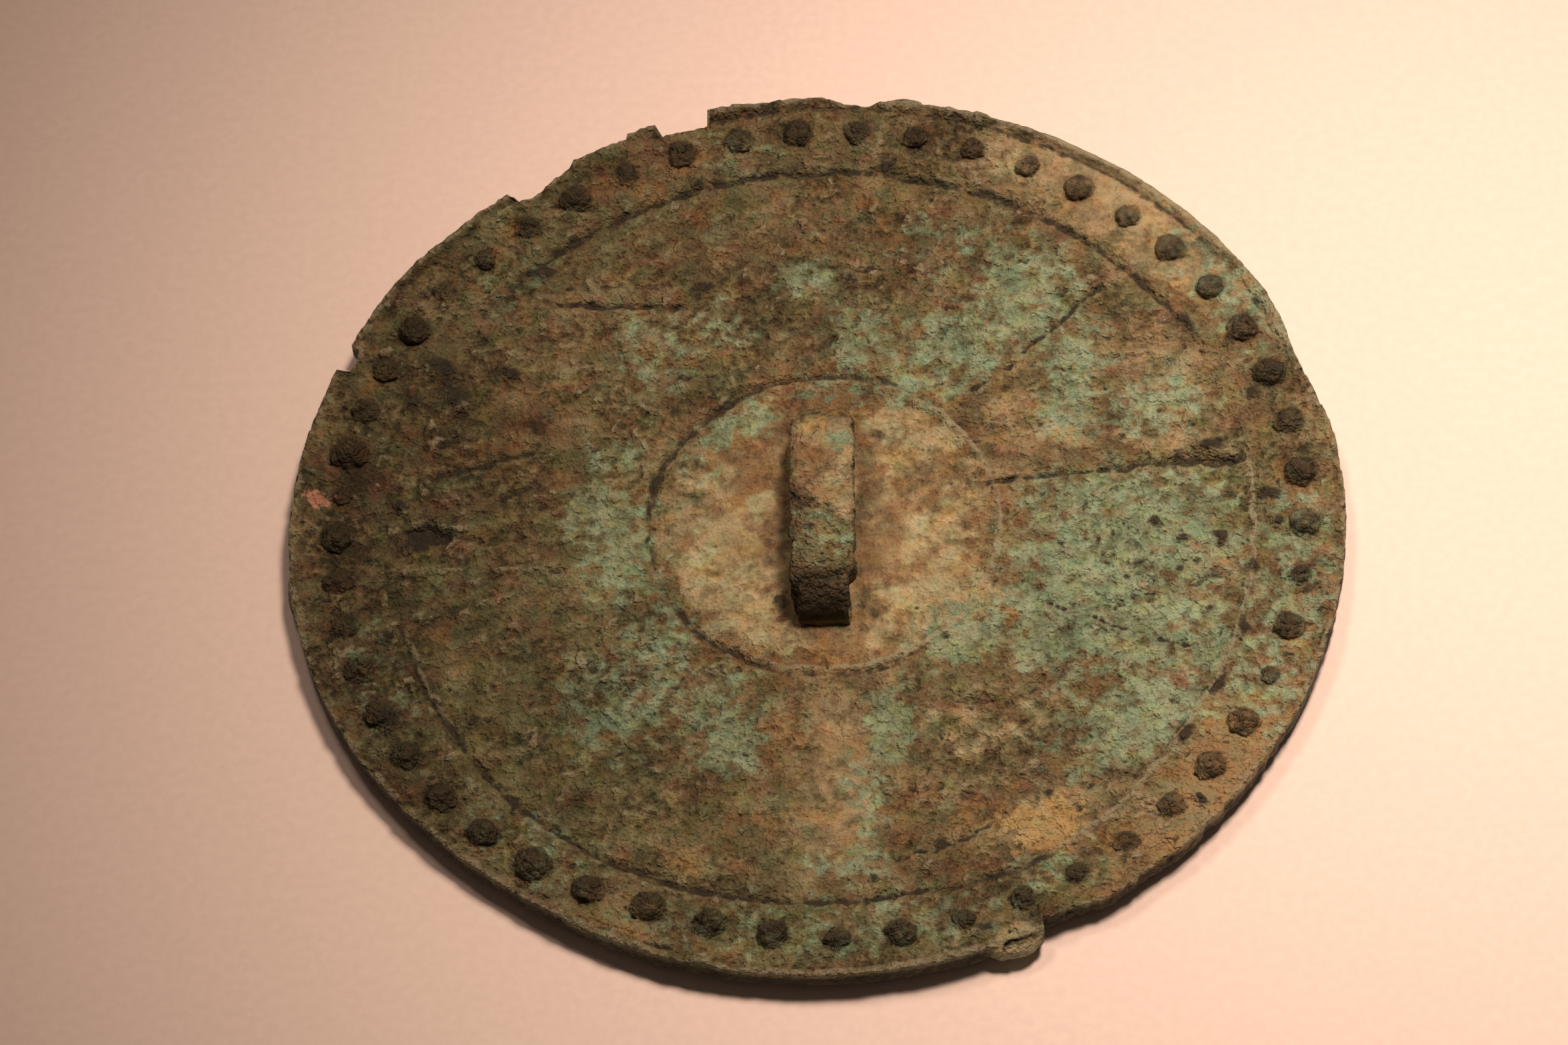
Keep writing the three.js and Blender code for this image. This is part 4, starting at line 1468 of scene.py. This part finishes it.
class ShaderBench(NodeBench):
    """A bench for one material, with the steps that a patina is made of."""

    def noise(
        self, place: Socket, size: float, detail: float = 4.0, offset: float = 0.0
    ) -> Socket:
        """Noise around 0.5.

        Args:
            place: Coordinates.
            size: Size of the lumps in millimetres.
            detail: How many finer layers lie on them.
            offset: How far the noise is shifted, in metres.

        Returns:
            The value.
        """
        spot = self.add("ShaderNodeVectorMath", {0: place, 1: (offset,) * 3}, operation="ADD")
        values = {"Vector": spot.outputs[0], "Scale": 1 / (size * MM), "Detail": detail}
        return self.add("ShaderNodeTexNoise", values).outputs["Fac"]

    def bent(
        self, place: Socket, waver: Socket, reach: float
    ) -> Socket:
        """Coordinates shifted by a noise.

        Args:
            place: Coordinates.
            waver: The noise.
            reach: How far they are shifted at most, in millimetres.

        Returns:
            The shifted coordinates.
        """
        values = {0: waver, 1: (reach * MM,) * 3}
        shift = self.add("ShaderNodeVectorMath", values, operation="MULTIPLY").outputs[0]
        return self.add("ShaderNodeVectorMath", {0: place, 1: shift}, operation="ADD").outputs[0]

    def flakes(
        self, place: Socket, size: float, waver: Socket
    ) -> Socket:
        """A value from 0 to 1 that is even over each small ragged flake.

        Args:
            place: Coordinates.
            size: Size of the flakes in millimetres.
            waver: Noise that makes the flakes' edges ragged.

        Returns:
            The value.
        """
        values = {"Vector": self.bent(place, waver, 2 * size), "Scale": 1 / (size * MM)}
        cells = self.add("ShaderNodeTexVoronoi", values)
        return self.add("ShaderNodeSeparateColor", {"Color": cells.outputs["Color"]}).outputs[0]

    def granules(
        self, place: Socket, size: float, waver: Socket
    ) -> Socket:
        """Rounded grains, near 1 on their crowns.

        Args:
            place: Coordinates.
            size: Size of the grains in millimetres.
            waver: Noise that bends the grains' outlines.

        Returns:
            The value.
        """
        values = {"Vector": self.bent(place, waver, 1.5 * size), "Scale": 1 / (size * MM)}
        values["Smoothness"] = 0.35
        cells = self.add("ShaderNodeTexVoronoi", values, feature="SMOOTH_F1")
        return self.minus(1.0, cells.outputs["Distance"])

    def ramp(self, value: Socket, low: float, high: float) -> Socket:
        """Eases a value from 0 to 1.

        Args:
            value: The value.
            low: Where it is still 0.
            high: Where it has reached 1.

        Returns:
            The eased value.
        """
        values = {"Value": value, "From Min": low, "From Max": high}
        node = self.add("ShaderNodeMapRange", values, interpolation_type="SMOOTHSTEP")
        return node.outputs["Result"]

    def swing(self, value: Socket, gain: float) -> Socket:
        """A value around 0.5 moved so that its middle is 0, then made stronger."""
        return self.times(self.minus(value, 0.5), gain)

    def blend(
        self, share: object, base: object, cover: object, kind: str = "MIX"
    ) -> Socket:
        """A colour laid over another.

        Args:
            share: How fully it covers, from 0 to 1.
            base: The colour below.
            cover: The colour above.
            kind: The way that the two mix.

        Returns:
            The mixed colour.
        """
        colours = [item.rgba() if isinstance(item, Colour) else item for item in (base, cover)]
        values = {0: share, 6: colours[0], 7: colours[1]}
        return self.add("ShaderNodeMix", values, data_type="RGBA", blend_type=kind).outputs[2]

    def palette(
        self, tone: Socket, colours: tuple[Colour, ...]
    ) -> Socket:
        """Colours chosen by a tone.

        Args:
            tone: The tone, from 0 to 1.
            colours: The colours, from dark to light.

        Returns:
            The colour.
        """
        node = self.add("ShaderNodeValToRGB", {"Fac": tone})
        stops = node.color_ramp.elements
        while len(stops) < len(colours):
            stops.new(0.5)
        for index, colour in enumerate(colours):
            stops[index].position = index / (len(colours) - 1)
            stops[index].color = colour.rgba()
        return node.outputs["Color"]

    def stain(self, stain: Stain) -> Socket:
        """A stain's strength from its attribute."""
        return self.add("ShaderNodeAttribute", {}, attribute_name=stain.value).outputs["Fac"]

    def finish(self, colour: object, inputs: dict[str, object]) -> None:
        """Ends the tree with a surface of one colour and its other values."""
        shader = self.add("ShaderNodeBsdfPrincipled", {"Base Color": colour, **inputs})
        self.add("ShaderNodeOutputMaterial", {"Surface": shader.outputs[0]})


@dataclass(frozen=True)
class Mottle:
    """Where a colour comes and goes: the noise that spreads it and how that is cut."""

    size: float
    detail: float
    offset: float
    low: float
    high: float
    strength: float

    def share(
        self, bench: ShaderBench, place: Socket, *more: Socket
    ) -> Socket:
        """How fully the colour covers.

        Args:
            bench: The material's bench.
            place: Coordinates.
            *more: Values that help the colour to spread.

        Returns:
            The share, from 0 to the mottle's strength.
        """
        value = bench.plus(bench.noise(place, self.size, self.detail, self.offset), *more)
        return bench.times(bench.ramp(value, self.low, self.high), self.strength)


@dataclass(frozen=True)
class Growth:
    """One growth on the bronze: its colours from dark to light and how its edge breaks up."""

    stain: Stain
    colours: tuple[Colour, ...]
    low: float
    high: float
    grain: float
    raggedness: float = 3.0
    start: float = 0.02
    fade: float = 0.15

    def share(
        self, bench: ShaderBench, place: Socket, offset: float
    ) -> Socket:
        """How fully the growth covers.

        Args:
            bench: The material's bench.
            place: Coordinates.
            offset: How far the noise of its edge is shifted, in metres.

        Returns:
            The share, from 0 to 1.
        """
        spread = bench.stain(self.stain)
        edge = bench.swing(bench.noise(place, self.grain, 8.0, offset), self.raggedness)
        share = bench.ramp(bench.plus(spread, edge), self.low, self.high)
        return bench.times(share, bench.ramp(spread, self.start, self.start + self.fade))


@dataclass(frozen=True)
class Film:
    """A thin even cover of one stain, with a fine ragged edge."""

    stain: Stain
    colour: Colour
    low: float
    high: float
    strength: float
    raggedness: float = 1.6

    def share(self, bench: ShaderBench, fine: Socket) -> Socket:
        """How fully the film covers where a fine noise breaks up its edge."""
        value = bench.plus(bench.stain(self.stain), bench.swing(fine, self.raggedness))
        return bench.times(bench.ramp(value, self.low, self.high), self.strength)


@dataclass(frozen=True)
class Tint:
    """A faint shift of hue that comes and goes over the patina."""

    colour: Colour
    spread: Mottle


@dataclass(frozen=True)
class Speckle:
    """The coordinates and the noises that several steps of the patina share."""

    place: Socket
    mid: Socket
    fine: Socket
    speck: Socket


@dataclass(frozen=True)
class Patina:
    """Excavated bronze: olive-brown skin under verdigris, cream crust, rust, dark dirt with painted
    shade.
    """

    skin: tuple[Colour, ...] = (
        Colour(0.036, 0.031, 0.016),
        Colour(0.084, 0.073, 0.038),
        Colour(0.132, 0.116, 0.062),
        Colour(0.185, 0.172, 0.094),
        Colour(0.260, 0.262, 0.165),
    )
    plum: tuple[Colour, ...] = (
        Colour(0.060, 0.035, 0.020),
        Colour(0.148, 0.098, 0.058),
        Colour(0.260, 0.200, 0.130),
    )
    moss: tuple[Colour, ...] = (
        Colour(0.036, 0.044, 0.020),
        Colour(0.112, 0.134, 0.066),
        Colour(0.220, 0.255, 0.140),
    )
    tints: tuple[Tint, ...] = (
        Tint(Colour(1.12, 1.02, 0.68), Mottle(3.1, 6.0, 11.0, 0.46, 0.66, 0.55)),
        Tint(Colour(0.80, 1.04, 1.05), Mottle(2.3, 6.0, 12.0, 0.46, 0.66, 0.65)),
        Tint(Colour(1.12, 0.88, 0.85), Mottle(1.9, 6.0, 13.0, 0.46, 0.66, 0.55)),
    )
    crumb: Colour = Colour(0.050, 0.048, 0.034)
    bloom: Colour = Colour(0.290, 0.310, 0.220)
    # Pale worn metal with painted highlight, then dark dirt with painted shade.
    films: tuple[Film, ...] = (
        Film(Stain.WEAR_AND_HIGHLIGHT, bloom, 0.3, 1.2, 0.75),
        Film(Stain.SOOT_AND_SHADE, Colour(0.026, 0.026, 0.018), 0.15, 0.95, 0.94),
    )
    plum_spread: Mottle = Mottle(3.6, 8.0, 2.9, 0.47, 0.68, 0.8)
    moss_spread: Mottle = Mottle(3.0, 8.0, 2.1, 0.46, 0.68, 0.8)
    moss_pull: float = 0.17
    bloom_spread: Mottle = Mottle(0.8, 4.0, 3.7, 0.62, 0.76, 0.3)
    crumb_spread: Mottle = Mottle(0.8, 3.0, 4.9, 0.62, 0.72, 0.5)
    broad_gain: float = 1.4
    mid_gain: float = 1.0
    fine_gain: float = 1.7
    flake_gain: float = 0.12
    speck_gain: float = 0.9
    tone_gain: float = 0.3
    calm: float = 0.35
    middle_tone: float = 0.55
    mid_bump: float = 0.3
    fine_bump: float = 0.4
    speck_bump: float = 0.3
    grain_bump: float = 0.22
    bump_depth: float = 1.8
    roughness: tuple[float, float] = (0.5, 0.8)
    sheen: float = 0.3
    growths: tuple[Growth, ...] = (
        Growth(
            Stain.RUST,
            (Colour(0.080, 0.055, 0.028), Colour(0.190, 0.138, 0.066), Colour(0.310, 0.250, 0.135)),
            0.10, 1.00, 3.0,
        ),
        Growth(
            Stain.PALE,
            (Colour(0.120, 0.105, 0.060), Colour(0.255, 0.225, 0.128), Colour(0.370, 0.345, 0.220)),
            0.10, 0.95, 3.0,
        ),
        Growth(
            Stain.CREAM,
            (Colour(0.175, 0.158, 0.085), Colour(0.310, 0.305, 0.178), Colour(0.440, 0.465, 0.310)),
            0.20, 0.80, 3.2,
        ),
        Growth(
            Stain.OCHRE,
            (Colour(0.170, 0.115, 0.045), Colour(0.340, 0.262, 0.105), Colour(0.450, 0.400, 0.210)),
            0.25, 0.80, 1.7,
        ),
        Growth(
            Stain.VERDIGRIS,
            (Colour(0.080, 0.112, 0.066), Colour(0.190, 0.285, 0.190), Colour(0.310, 0.460, 0.325)),
            0.20, 0.85, 1.8,
        ),
        Growth(
            Stain.COPPER,
            (Colour(0.380, 0.210, 0.150), Colour(0.560, 0.330, 0.250), Colour(0.600, 0.400, 0.310)),
            0.30, 0.70, 1.0,
        ),
    )

    def tone(self, bench: ShaderBench, speckle: Speckle) -> Socket:
        """How light the patina is.

        Args:
            bench: The material's bench.
            speckle: The shared noises.

        Returns:
            The tone, mostly from 0 to 1.
        """
        broad = bench.noise(speckle.place, 7.0, 4.0)
        flake = bench.flakes(speckle.place, 1.15, speckle.mid)
        lively = bench.ramp(bench.noise(speckle.place, 5.0, 3.0, 8.1), 0.38, 0.62)
        small = bench.plus(
            bench.swing(speckle.fine, self.fine_gain), bench.swing(flake, self.flake_gain)
        )
        return bench.plus(
            bench.swing(broad, self.broad_gain),
            bench.swing(speckle.mid, self.mid_gain),
            bench.times(small, bench.plus(lively, self.calm)),
            bench.swing(speckle.speck, self.speck_gain),
            bench.times(bench.stain(Stain.TONE_AND_SHADE), self.tone_gain),
            self.middle_tone,
        )

    def colour(self, bench: ShaderBench, speckle: Speckle) -> Socket:
        """The skin's colour with everything that grows and lies on it.

        Args:
            bench: The material's bench.
            speckle: The shared noises.

        Returns:
            The colour.
        """
        place, tone = speckle.place, self.tone(bench, speckle)
        colour = bench.palette(tone, self.skin)
        red = self.plum_spread.share(bench, place)
        colour = bench.blend(red, colour, bench.palette(tone, self.plum))
        mossy = bench.times(bench.stain(Stain.MOSS), self.moss_pull)
        green = self.moss_spread.share(bench, place, mossy)
        colour = bench.blend(green, colour, bench.palette(tone, self.moss))
        for number, growth in enumerate(self.growths):
            share = growth.share(bench, place, 5.0 + number)
            colour = bench.blend(share, colour, bench.palette(tone, growth.colours))
        for tint in self.tints:
            colour = bench.blend(tint.spread.share(bench, place), colour, tint.colour, "MULTIPLY")
        colour = bench.blend(self.bloom_spread.share(bench, place), colour, self.bloom)
        colour = bench.blend(self.crumb_spread.share(bench, place), colour, self.crumb)
        for film in self.films:
            colour = bench.blend(film.share(bench, speckle.fine), colour, film.colour)
        return colour

    def relief(self, bench: ShaderBench, speckle: Speckle) -> Socket:
        """The finest relief, which fades out where the casting is even.

        Args:
            bench: The material's bench.
            speckle: The shared noises.

        Returns:
            The bent normal.
        """
        grains = bench.granules(speckle.place, 0.75, speckle.fine)
        bumps = bench.plus(
            bench.swing(speckle.mid, self.mid_bump),
            bench.swing(speckle.fine, self.fine_bump),
            bench.swing(speckle.speck, self.speck_bump),
            bench.times(grains, self.grain_bump),
        )
        bumps = bench.times(bumps, bench.minus(1.0, bench.stain(Stain.EVEN)))
        values = {"Strength": 1.0, "Distance": self.bump_depth * MM, "Height": bumps}
        return bench.add("ShaderNodeBump", values).outputs[0]

    def build(self) -> bpy.types.Material:
        """The patina as a procedural material.

        Returns:
            The material.
        """
        material = bpy.data.materials.new("patinated_bronze")
        material.use_nodes = True
        bench = ShaderBench(material.node_tree)
        place = bench.add("ShaderNodeTexCoord", {}).outputs["Object"]
        mid = bench.noise(place, 2.6, 5.0, 0.31)
        fine, speck = bench.noise(place, 1.1, 4.0, 0.77), bench.noise(place, 0.32, 3.0, 1.3)
        speckle = Speckle(place, mid, fine, speck)
        smoothest, roughest = self.roughness
        values = {"Value": mid, "To Min": smoothest, "To Max": roughest}
        values = {
            "Roughness": bench.add("ShaderNodeMapRange", values).outputs["Result"],
            "Metallic": 0.0,
            "Specular IOR Level": self.sheen,
            "Normal": self.relief(bench, speckle),
        }
        bench.finish(self.colour(bench, speckle), values)
        return material


@dataclass(frozen=True)
class Site:
    """What the stains need to know about every vertex of the casting."""

    points: Array
    height: Array
    under: Array
    loop: Array
    waver: Array
    bent: Array
    ridge: Array
    hollow: Array
    boss: Array
    wall: Array

    @property
    def plan(self) -> Array:
        """The vertices' plan points."""
        return self.points[:, :2]

    @property
    def radius(self) -> Array:
        """The vertices' distances from the centre."""
        return np.hypot(self.points[:, 0], self.points[:, 1])


@dataclass(frozen=True)
class Staining:
    """Spreads the stains over the casting from where things are and how the surface bends."""

    plate: Plate
    bosses: BossRing
    loop: CordLoop
    surface: Surface
    noise: Noise
    loop_half_width: float = 4.3
    loop_half_length: float = 15.6
    bend_rounds: int = 6
    edge_waver: tuple[Grit, Grit] = (Grit(0.8, 4.0, 3, 3), Grit(0.8, 4.0, 3, 9))
    tears: Grit = Grit(0.9, 1.5, 3)
    gaps: Grit = Grit(1.0, 3.0, 3, 19)
    unshaded_wall: Patch = Patch(22.4, -59.5, 3.4, 2.6, 20)
    bright_rim: Hump = Hump(280, 22, 0.9)
    hollow_dirt_and_shade: float = 0.8
    boss_soot: float = 0.66
    crack_soot: float = 1.6
    vein_soot: float = 0.5
    crumb_soot: float = 1.4
    pit_soot: float = 1.5
    ring_dirt_and_shade: float = 1.7
    wall_shade: float = 0.8
    loop_side_shade: float = 0.6
    # How pale the rings' crests are, as worn metal with a painted highlight.
    ring_wear: float = 1.8
    boss_tone: float = -0.9
    grain_tone: float = 0.7

    def bend(self, made: bpy.types.Object, rounds: int) -> Array:
        """How far each vertex stands above the mean of its neighbourhood, in millimetres.

        Args:
            made: The mesh.
            rounds: How often the neighbourhood is widened by one edge.

        Returns:
            Positive values on ridges and negative ones in hollows.
        """
        points = vertex_points(made)
        edges = np.empty(len(made.data.edges) * 2, dtype=int)
        made.data.edges.foreach_get("vertices", edges)
        one, two = edges.reshape(-1, 2).T
        degree = np.bincount(edges, minlength=len(points))[:, None] + 1.0
        soft = points.copy()
        for _ in range(rounds):
            total = soft.copy()
            for axis in range(3):
                total[:, axis] += np.bincount(one, soft[two, axis], len(points))
                total[:, axis] += np.bincount(two, soft[one, axis], len(points))
            soft = total / degree
        normals = np.empty(len(points) * 3)
        made.data.vertices.foreach_get("normal", normals)
        return np.einsum("ij,ij->i", points - soft, normals.reshape(-1, 3))

    def boss_share(self, plan: Array) -> Array:
        """How fully each plan point lies on a boss or in the dirt round its foot.

        Args:
            plan: Plan points, one to a row.

        Returns:
            The share, from 0 to 1, a little lower at the west.
        """
        near = np.full(len(plan), 9.0)
        for spot, size in zip(self.bosses.places(), self.bosses.sizes()):
            away = np.hypot(*(plan - spot[:2]).T) / math.sqrt(size)
            near = np.minimum(near, away)
        return smooth(-near, -2.6, -1.4) * (1 - 0.3 * smooth(-plan[:, 0], 36, 52))

    def survey(self, made: bpy.types.Object) -> Site:
        """Looks at every vertex.

        Args:
            made: The casting.

        Returns:
            What the stains need to know.
        """
        points = vertex_points(made)
        plan = points[:, :2]
        radius = np.hypot(plan[:, 0], plan[:, 1])
        height = points[:, 2] - self.plate.back_height(radius)
        beside = np.abs(plan - (self.loop.x, self.loop.y))
        beside = (beside / (self.loop_half_width, self.loop_half_length)).max(axis=1)
        # How far each vertex lies on the edge wall that takes painted shade, except on a pale
        # fragment.
        wall = smooth(-height, 0.15, 0.9) * (radius > 58.5) * (1 - self.unshaded_wall.share(plan))
        bend = self.bend(made, self.bend_rounds)
        return Site(
            points=points,
            height=height,
            under=points[:, 2] < self.plate.face_height(radius) + 0.6,
            loop=smooth(height, 0.5, 1.3) * (beside < 1),
            waver=plan + np.column_stack([grit.at(self.noise, points) for grit in self.edge_waver]),
            bent=self.surface.bent(plan),
            ridge=smooth(bend, 0.06, 0.28),
            hollow=smooth(-bend, 0.05, 0.26),
            boss=self.boss_share(plan),
            wall=wall,
        )

    def soot(self, site: Site) -> Array:
        """Dirt round the bosses and in cracks, veins, crumbs and the pit; dirt and painted shade in
        hollows and ring grooves; painted shade on the edge wall and on the loop below its crown and
        near leg.

        Args:
            site: What is known about the vertices.

        Returns:
            The strength of the dirt and painted shade at each vertex.
        """
        bent = site.bent
        torn = np.clip(0.62 + self.tears.at(self.noise, lifted(site.plan, 47)), 0.15, 1.3)
        gaps = np.clip(0.8 + self.gaps.at(self.noise, site.points), 0.3, 1.2)
        pit = smooth(CRESCENT_PIT.share(bent) * (0.5 + 0.6 * torn), 0.15, 0.6)
        # Painted shade on the loop below its crown, with a little darkening of its ridges.
        side_shade = self.loop_side_shade * smooth(-site.height, -7.4, -6.0) + 0.3 * site.ridge
        over = strongest(LOOP_PATCHES[Stain.SOOT_AND_SHADE], site.waver - (self.loop.x, self.loop.y))
        soot = np.maximum.reduce([
            # Hollows are darkened as dirt and as painted shade.
            self.hollow_dirt_and_shade * site.hollow,
            self.boss_soot * site.boss,
            self.crack_soot * torn * strongest(CRACKS, bent),
            self.vein_soot * torn * strongest(FAINT_VEINS[2:], bent),
            self.crumb_soot * np.maximum(torn, 0.65) * strongest(DARK_CRUMBS, bent),
            self.pit_soot * pit,
            # The groove beside each ring is darkened as dirt and as painted shade.
            self.ring_dirt_and_shade * gaps * torn * np.max([ring.groove_dirt_and_shade(bent) for ring in STRING_RINGS], axis=0),
            site.loop * np.maximum(over, side_shade),
        ])
        # The edge wall is darkened with painted shade.
        return np.maximum(soot * ~site.under, self.wall_shade * site.wall * (site.radius > 60))

    def wear(self, site: Site) -> Array:
        """Paler worn metal with a painted highlight on the ridges and the string rings' crests,
        and paler worn metal on the near rim.

        Args:
            site: What is known about the vertices.

        Returns:
            The strength of the wear at each vertex.
        """
        threads = np.max([ring.thread(site.bent) for ring in STRING_RINGS], axis=0)
        rim = self.bright_rim.height(angle_of(site.plan)) * smooth(site.radius, 61.0, 61.6)
        # Ridges and ring crests are paler as worn metal and as painted highlight; the near rim is
        # worn.
        shares = [site.ridge * (1 - site.boss), self.ring_wear * threads, rim * (1 - site.wall)]
        return np.maximum.reduce(shares) * ~site.under

    def tone(self, site: Site) -> Array:
        """Broad lights and darks, with painted shade round the loop, on its near leg, inside the north
        lip and at the inner ring's top.

        Args:
            site: What is known about the vertices.

        Returns:
            How much lighter or darker each vertex is.
        """
        own = site.waver - (self.loop.x, self.loop.y)
        disc = sum(patch.share(site.waver) for patch in TONE_AND_SHADE_PATCHES) + self.boss_tone * site.boss
        over = sum(patch.share(own) for patch in LOOP_PATCHES[Stain.TONE_AND_SHADE])
        tone = disc * (1 - site.loop) + over * site.loop
        return tone * ~site.under + self.grain_tone * self.surface.grain(site.plan)

    def paint(self, made: bpy.types.Object) -> None:
        """Writes one attribute for each stain.

        Args:
            made: The casting.
        """
        site = self.survey(made)
        own = site.waver - (self.loop.x, self.loop.y)
        for stain, patches in STAIN_PATCHES.items():
            disc = strongest(patches, site.waver) * ~site.under
            over = strongest(LOOP_PATCHES.get(stain, ()), own)
            self.write(made, stain, disc * (1 - site.loop) + over * site.loop)
        even = np.minimum(0.8, 0.95 * strongest(SMOOTH_AREAS, site.plan))
        self.write(made, Stain.EVEN, even * (1 - site.loop))
        self.write(made, Stain.SOOT_AND_SHADE, self.soot(site))
        self.write(made, Stain.WEAR_AND_HIGHLIGHT, self.wear(site))
        self.write(made, Stain.TONE_AND_SHADE, self.tone(site))

    def write(self, made: bpy.types.Object, stain: Stain, values: Array) -> None:
        """Stores one stain's strength at every vertex."""
        attribute = made.data.attributes.new(stain.value, "FLOAT", "POINT")
        attribute.data.foreach_set("value", np.ascontiguousarray(values, dtype=np.float32))


# ------------------------------------------------------------------ the studio


@dataclass(frozen=True)
class Lamp:
    """A square soft light: where it stands, what it faces, its sides in metres and its power."""

    name: str
    place: tuple[float, float, float]
    aim: tuple[float, float, float]
    size: float
    power: float
    colour: tuple[float, float, float] = (1.0, 0.66, 0.49)
    spread: float = 38.0

    def build(self) -> None:
        """Hangs the lamp in the scene."""
        light = bpy.data.lights.new(self.name, "AREA")
        light.size, light.energy, light.color = self.size, self.power, self.colour
        light.spread = math.radians(self.spread)
        made = bpy.data.objects.new(self.name, light)
        made.location = self.place
        facing = Vector(self.aim) - Vector(self.place)
        made.rotation_euler = facing.to_track_quat("-Z", "Y").to_euler()
        bpy.context.scene.collection.objects.link(made)


@dataclass(frozen=True)
class Studio:
    """A pale table, two warm soft lamps behind the mirror, a dim surround and the camera."""

    floor_half: float = 1.4
    floor_dark: Colour = Colour(0.80, 0.77, 0.75)
    floor_light: Colour = Colour(0.84, 0.81, 0.79)
    lamps: tuple[Lamp, ...] = (
        Lamp("key", (0.19, 0.17, 0.68), (0.084, 0.010, 0.0), 0.16, 0.34),
        Lamp("second", (-0.14, 0.26, 0.66), (0.095, 0.010, 0.0), 0.14, 0.085),
    )
    surround: Colour = Colour(1.0, 0.62, 0.44)
    surround_strength: float = 0.065
    lens: float = 153.0
    camera_place: tuple[float, float, float] = (0.0305, -0.4384, 0.6624)
    camera_heading: tuple[float, float, float] = (-0.04376, 0.55327, -0.83185)
    camera_roll: float = -5.43

    def floor(self) -> None:
        """The table top with a faint woven grain."""
        half = self.floor_half / MM
        corners = np.array([[-half, -half, 0], [half, -half, 0], [half, half, 0], [-half, half, 0]])
        made = mesh_object("table_top", corners, [(0, 1, 2, 3)])
        material = bpy.data.materials.new("pale_card")
        material.use_nodes = True
        bench = ShaderBench(material.node_tree)
        place = bench.add("ShaderNodeTexCoord", {}).outputs["Object"]
        grain = bench.ramp(bench.noise(place, 1.2, 3.0), 0.3, 0.7)
        bench.finish(bench.blend(grain, self.floor_dark, self.floor_light), {"Roughness": 0.9})
        made.data.materials.append(material)

    def backdrop(self) -> None:
        """The dim warm light from all round."""
        world = bpy.data.worlds.new("surround")
        world.use_nodes = True
        backdrop = world.node_tree.nodes["Background"]
        backdrop.inputs[0].default_value = self.surround.rgba()
        backdrop.inputs[1].default_value = self.surround_strength
        bpy.context.scene.world = world

    def camera(self) -> None:
        """The camera, looking down over the near side with a slight roll."""
        data = bpy.data.cameras.new("camera")
        data.lens = self.lens
        data.sensor_width = 36.0
        data.clip_start, data.clip_end = 0.01, 20.0
        made = bpy.data.objects.new("camera", data)
        made.location = self.camera_place
        made.rotation_mode = "QUATERNION"
        level = Vector(self.camera_heading).to_track_quat("-Z", "Y")
        made.rotation_quaternion = level @ Quaternion((0, 0, 1), math.radians(self.camera_roll))
        bpy.context.scene.collection.objects.link(made)
        bpy.context.scene.camera = made

    def build(self) -> None:
        """Sets the table, the lamps, the surround and the camera."""
        self.floor()
        for lamp in self.lamps:
            lamp.build()
        self.backdrop()
        self.camera()
        bpy.context.scene.view_settings.view_transform = "Standard"


# ------------------------------------------------------------------ the whole


@dataclass(frozen=True)
class Mirror:
    """The dressed mirror: plate, bosses and loop joined into one casting."""

    plate: Plate = Plate()
    noise: Noise = Noise(41)

    def build(self) -> bpy.types.Object:
        """Makes the casting, joins its parts, paints its stains and gives it its bronze.

        Returns:
            The finished piece.
        """
        bronze = Patina().build()
        bosses = BossRing(self.plate)
        surface = Surface(self.plate, Carving(self.plate), self.noise)
        made = Casting(surface).build()
        made.name = "mirror_casting"
        loop = CordLoop(self.plate, self.noise)
        for part in (bosses.build(bronze), loop.build()):
            log.info("%s: %d faces", part.name, len(part.data.polygons))
            union = made.modifiers.new(part.name, "BOOLEAN")
            union.operation = "UNION"
            union.solver = "MANIFOLD"
            union.object = part
            settle(made)
            discard(part)
        made.data.materials.clear()
        made.data.materials.append(bronze)
        made.data.polygons.foreach_set("use_smooth", np.ones(len(made.data.polygons), dtype=bool))
        Staining(self.plate, bosses, loop, surface, self.noise).paint(made)
        return made


def main() -> None:
    """Builds the studio and the mirror, and ties the mirror to its solid."""
    logging.basicConfig(level=logging.INFO, format="%(message)s")
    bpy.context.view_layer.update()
    Studio().build()
    piece = Mirror().build()
    triangles = sum(len(face.vertices) - 2 for face in piece.data.polygons)
    log.info("%s: %d triangles", piece.name, triangles)
    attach(piece, "root")
    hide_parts("mirror")


if __name__ == "__main__":
    main()
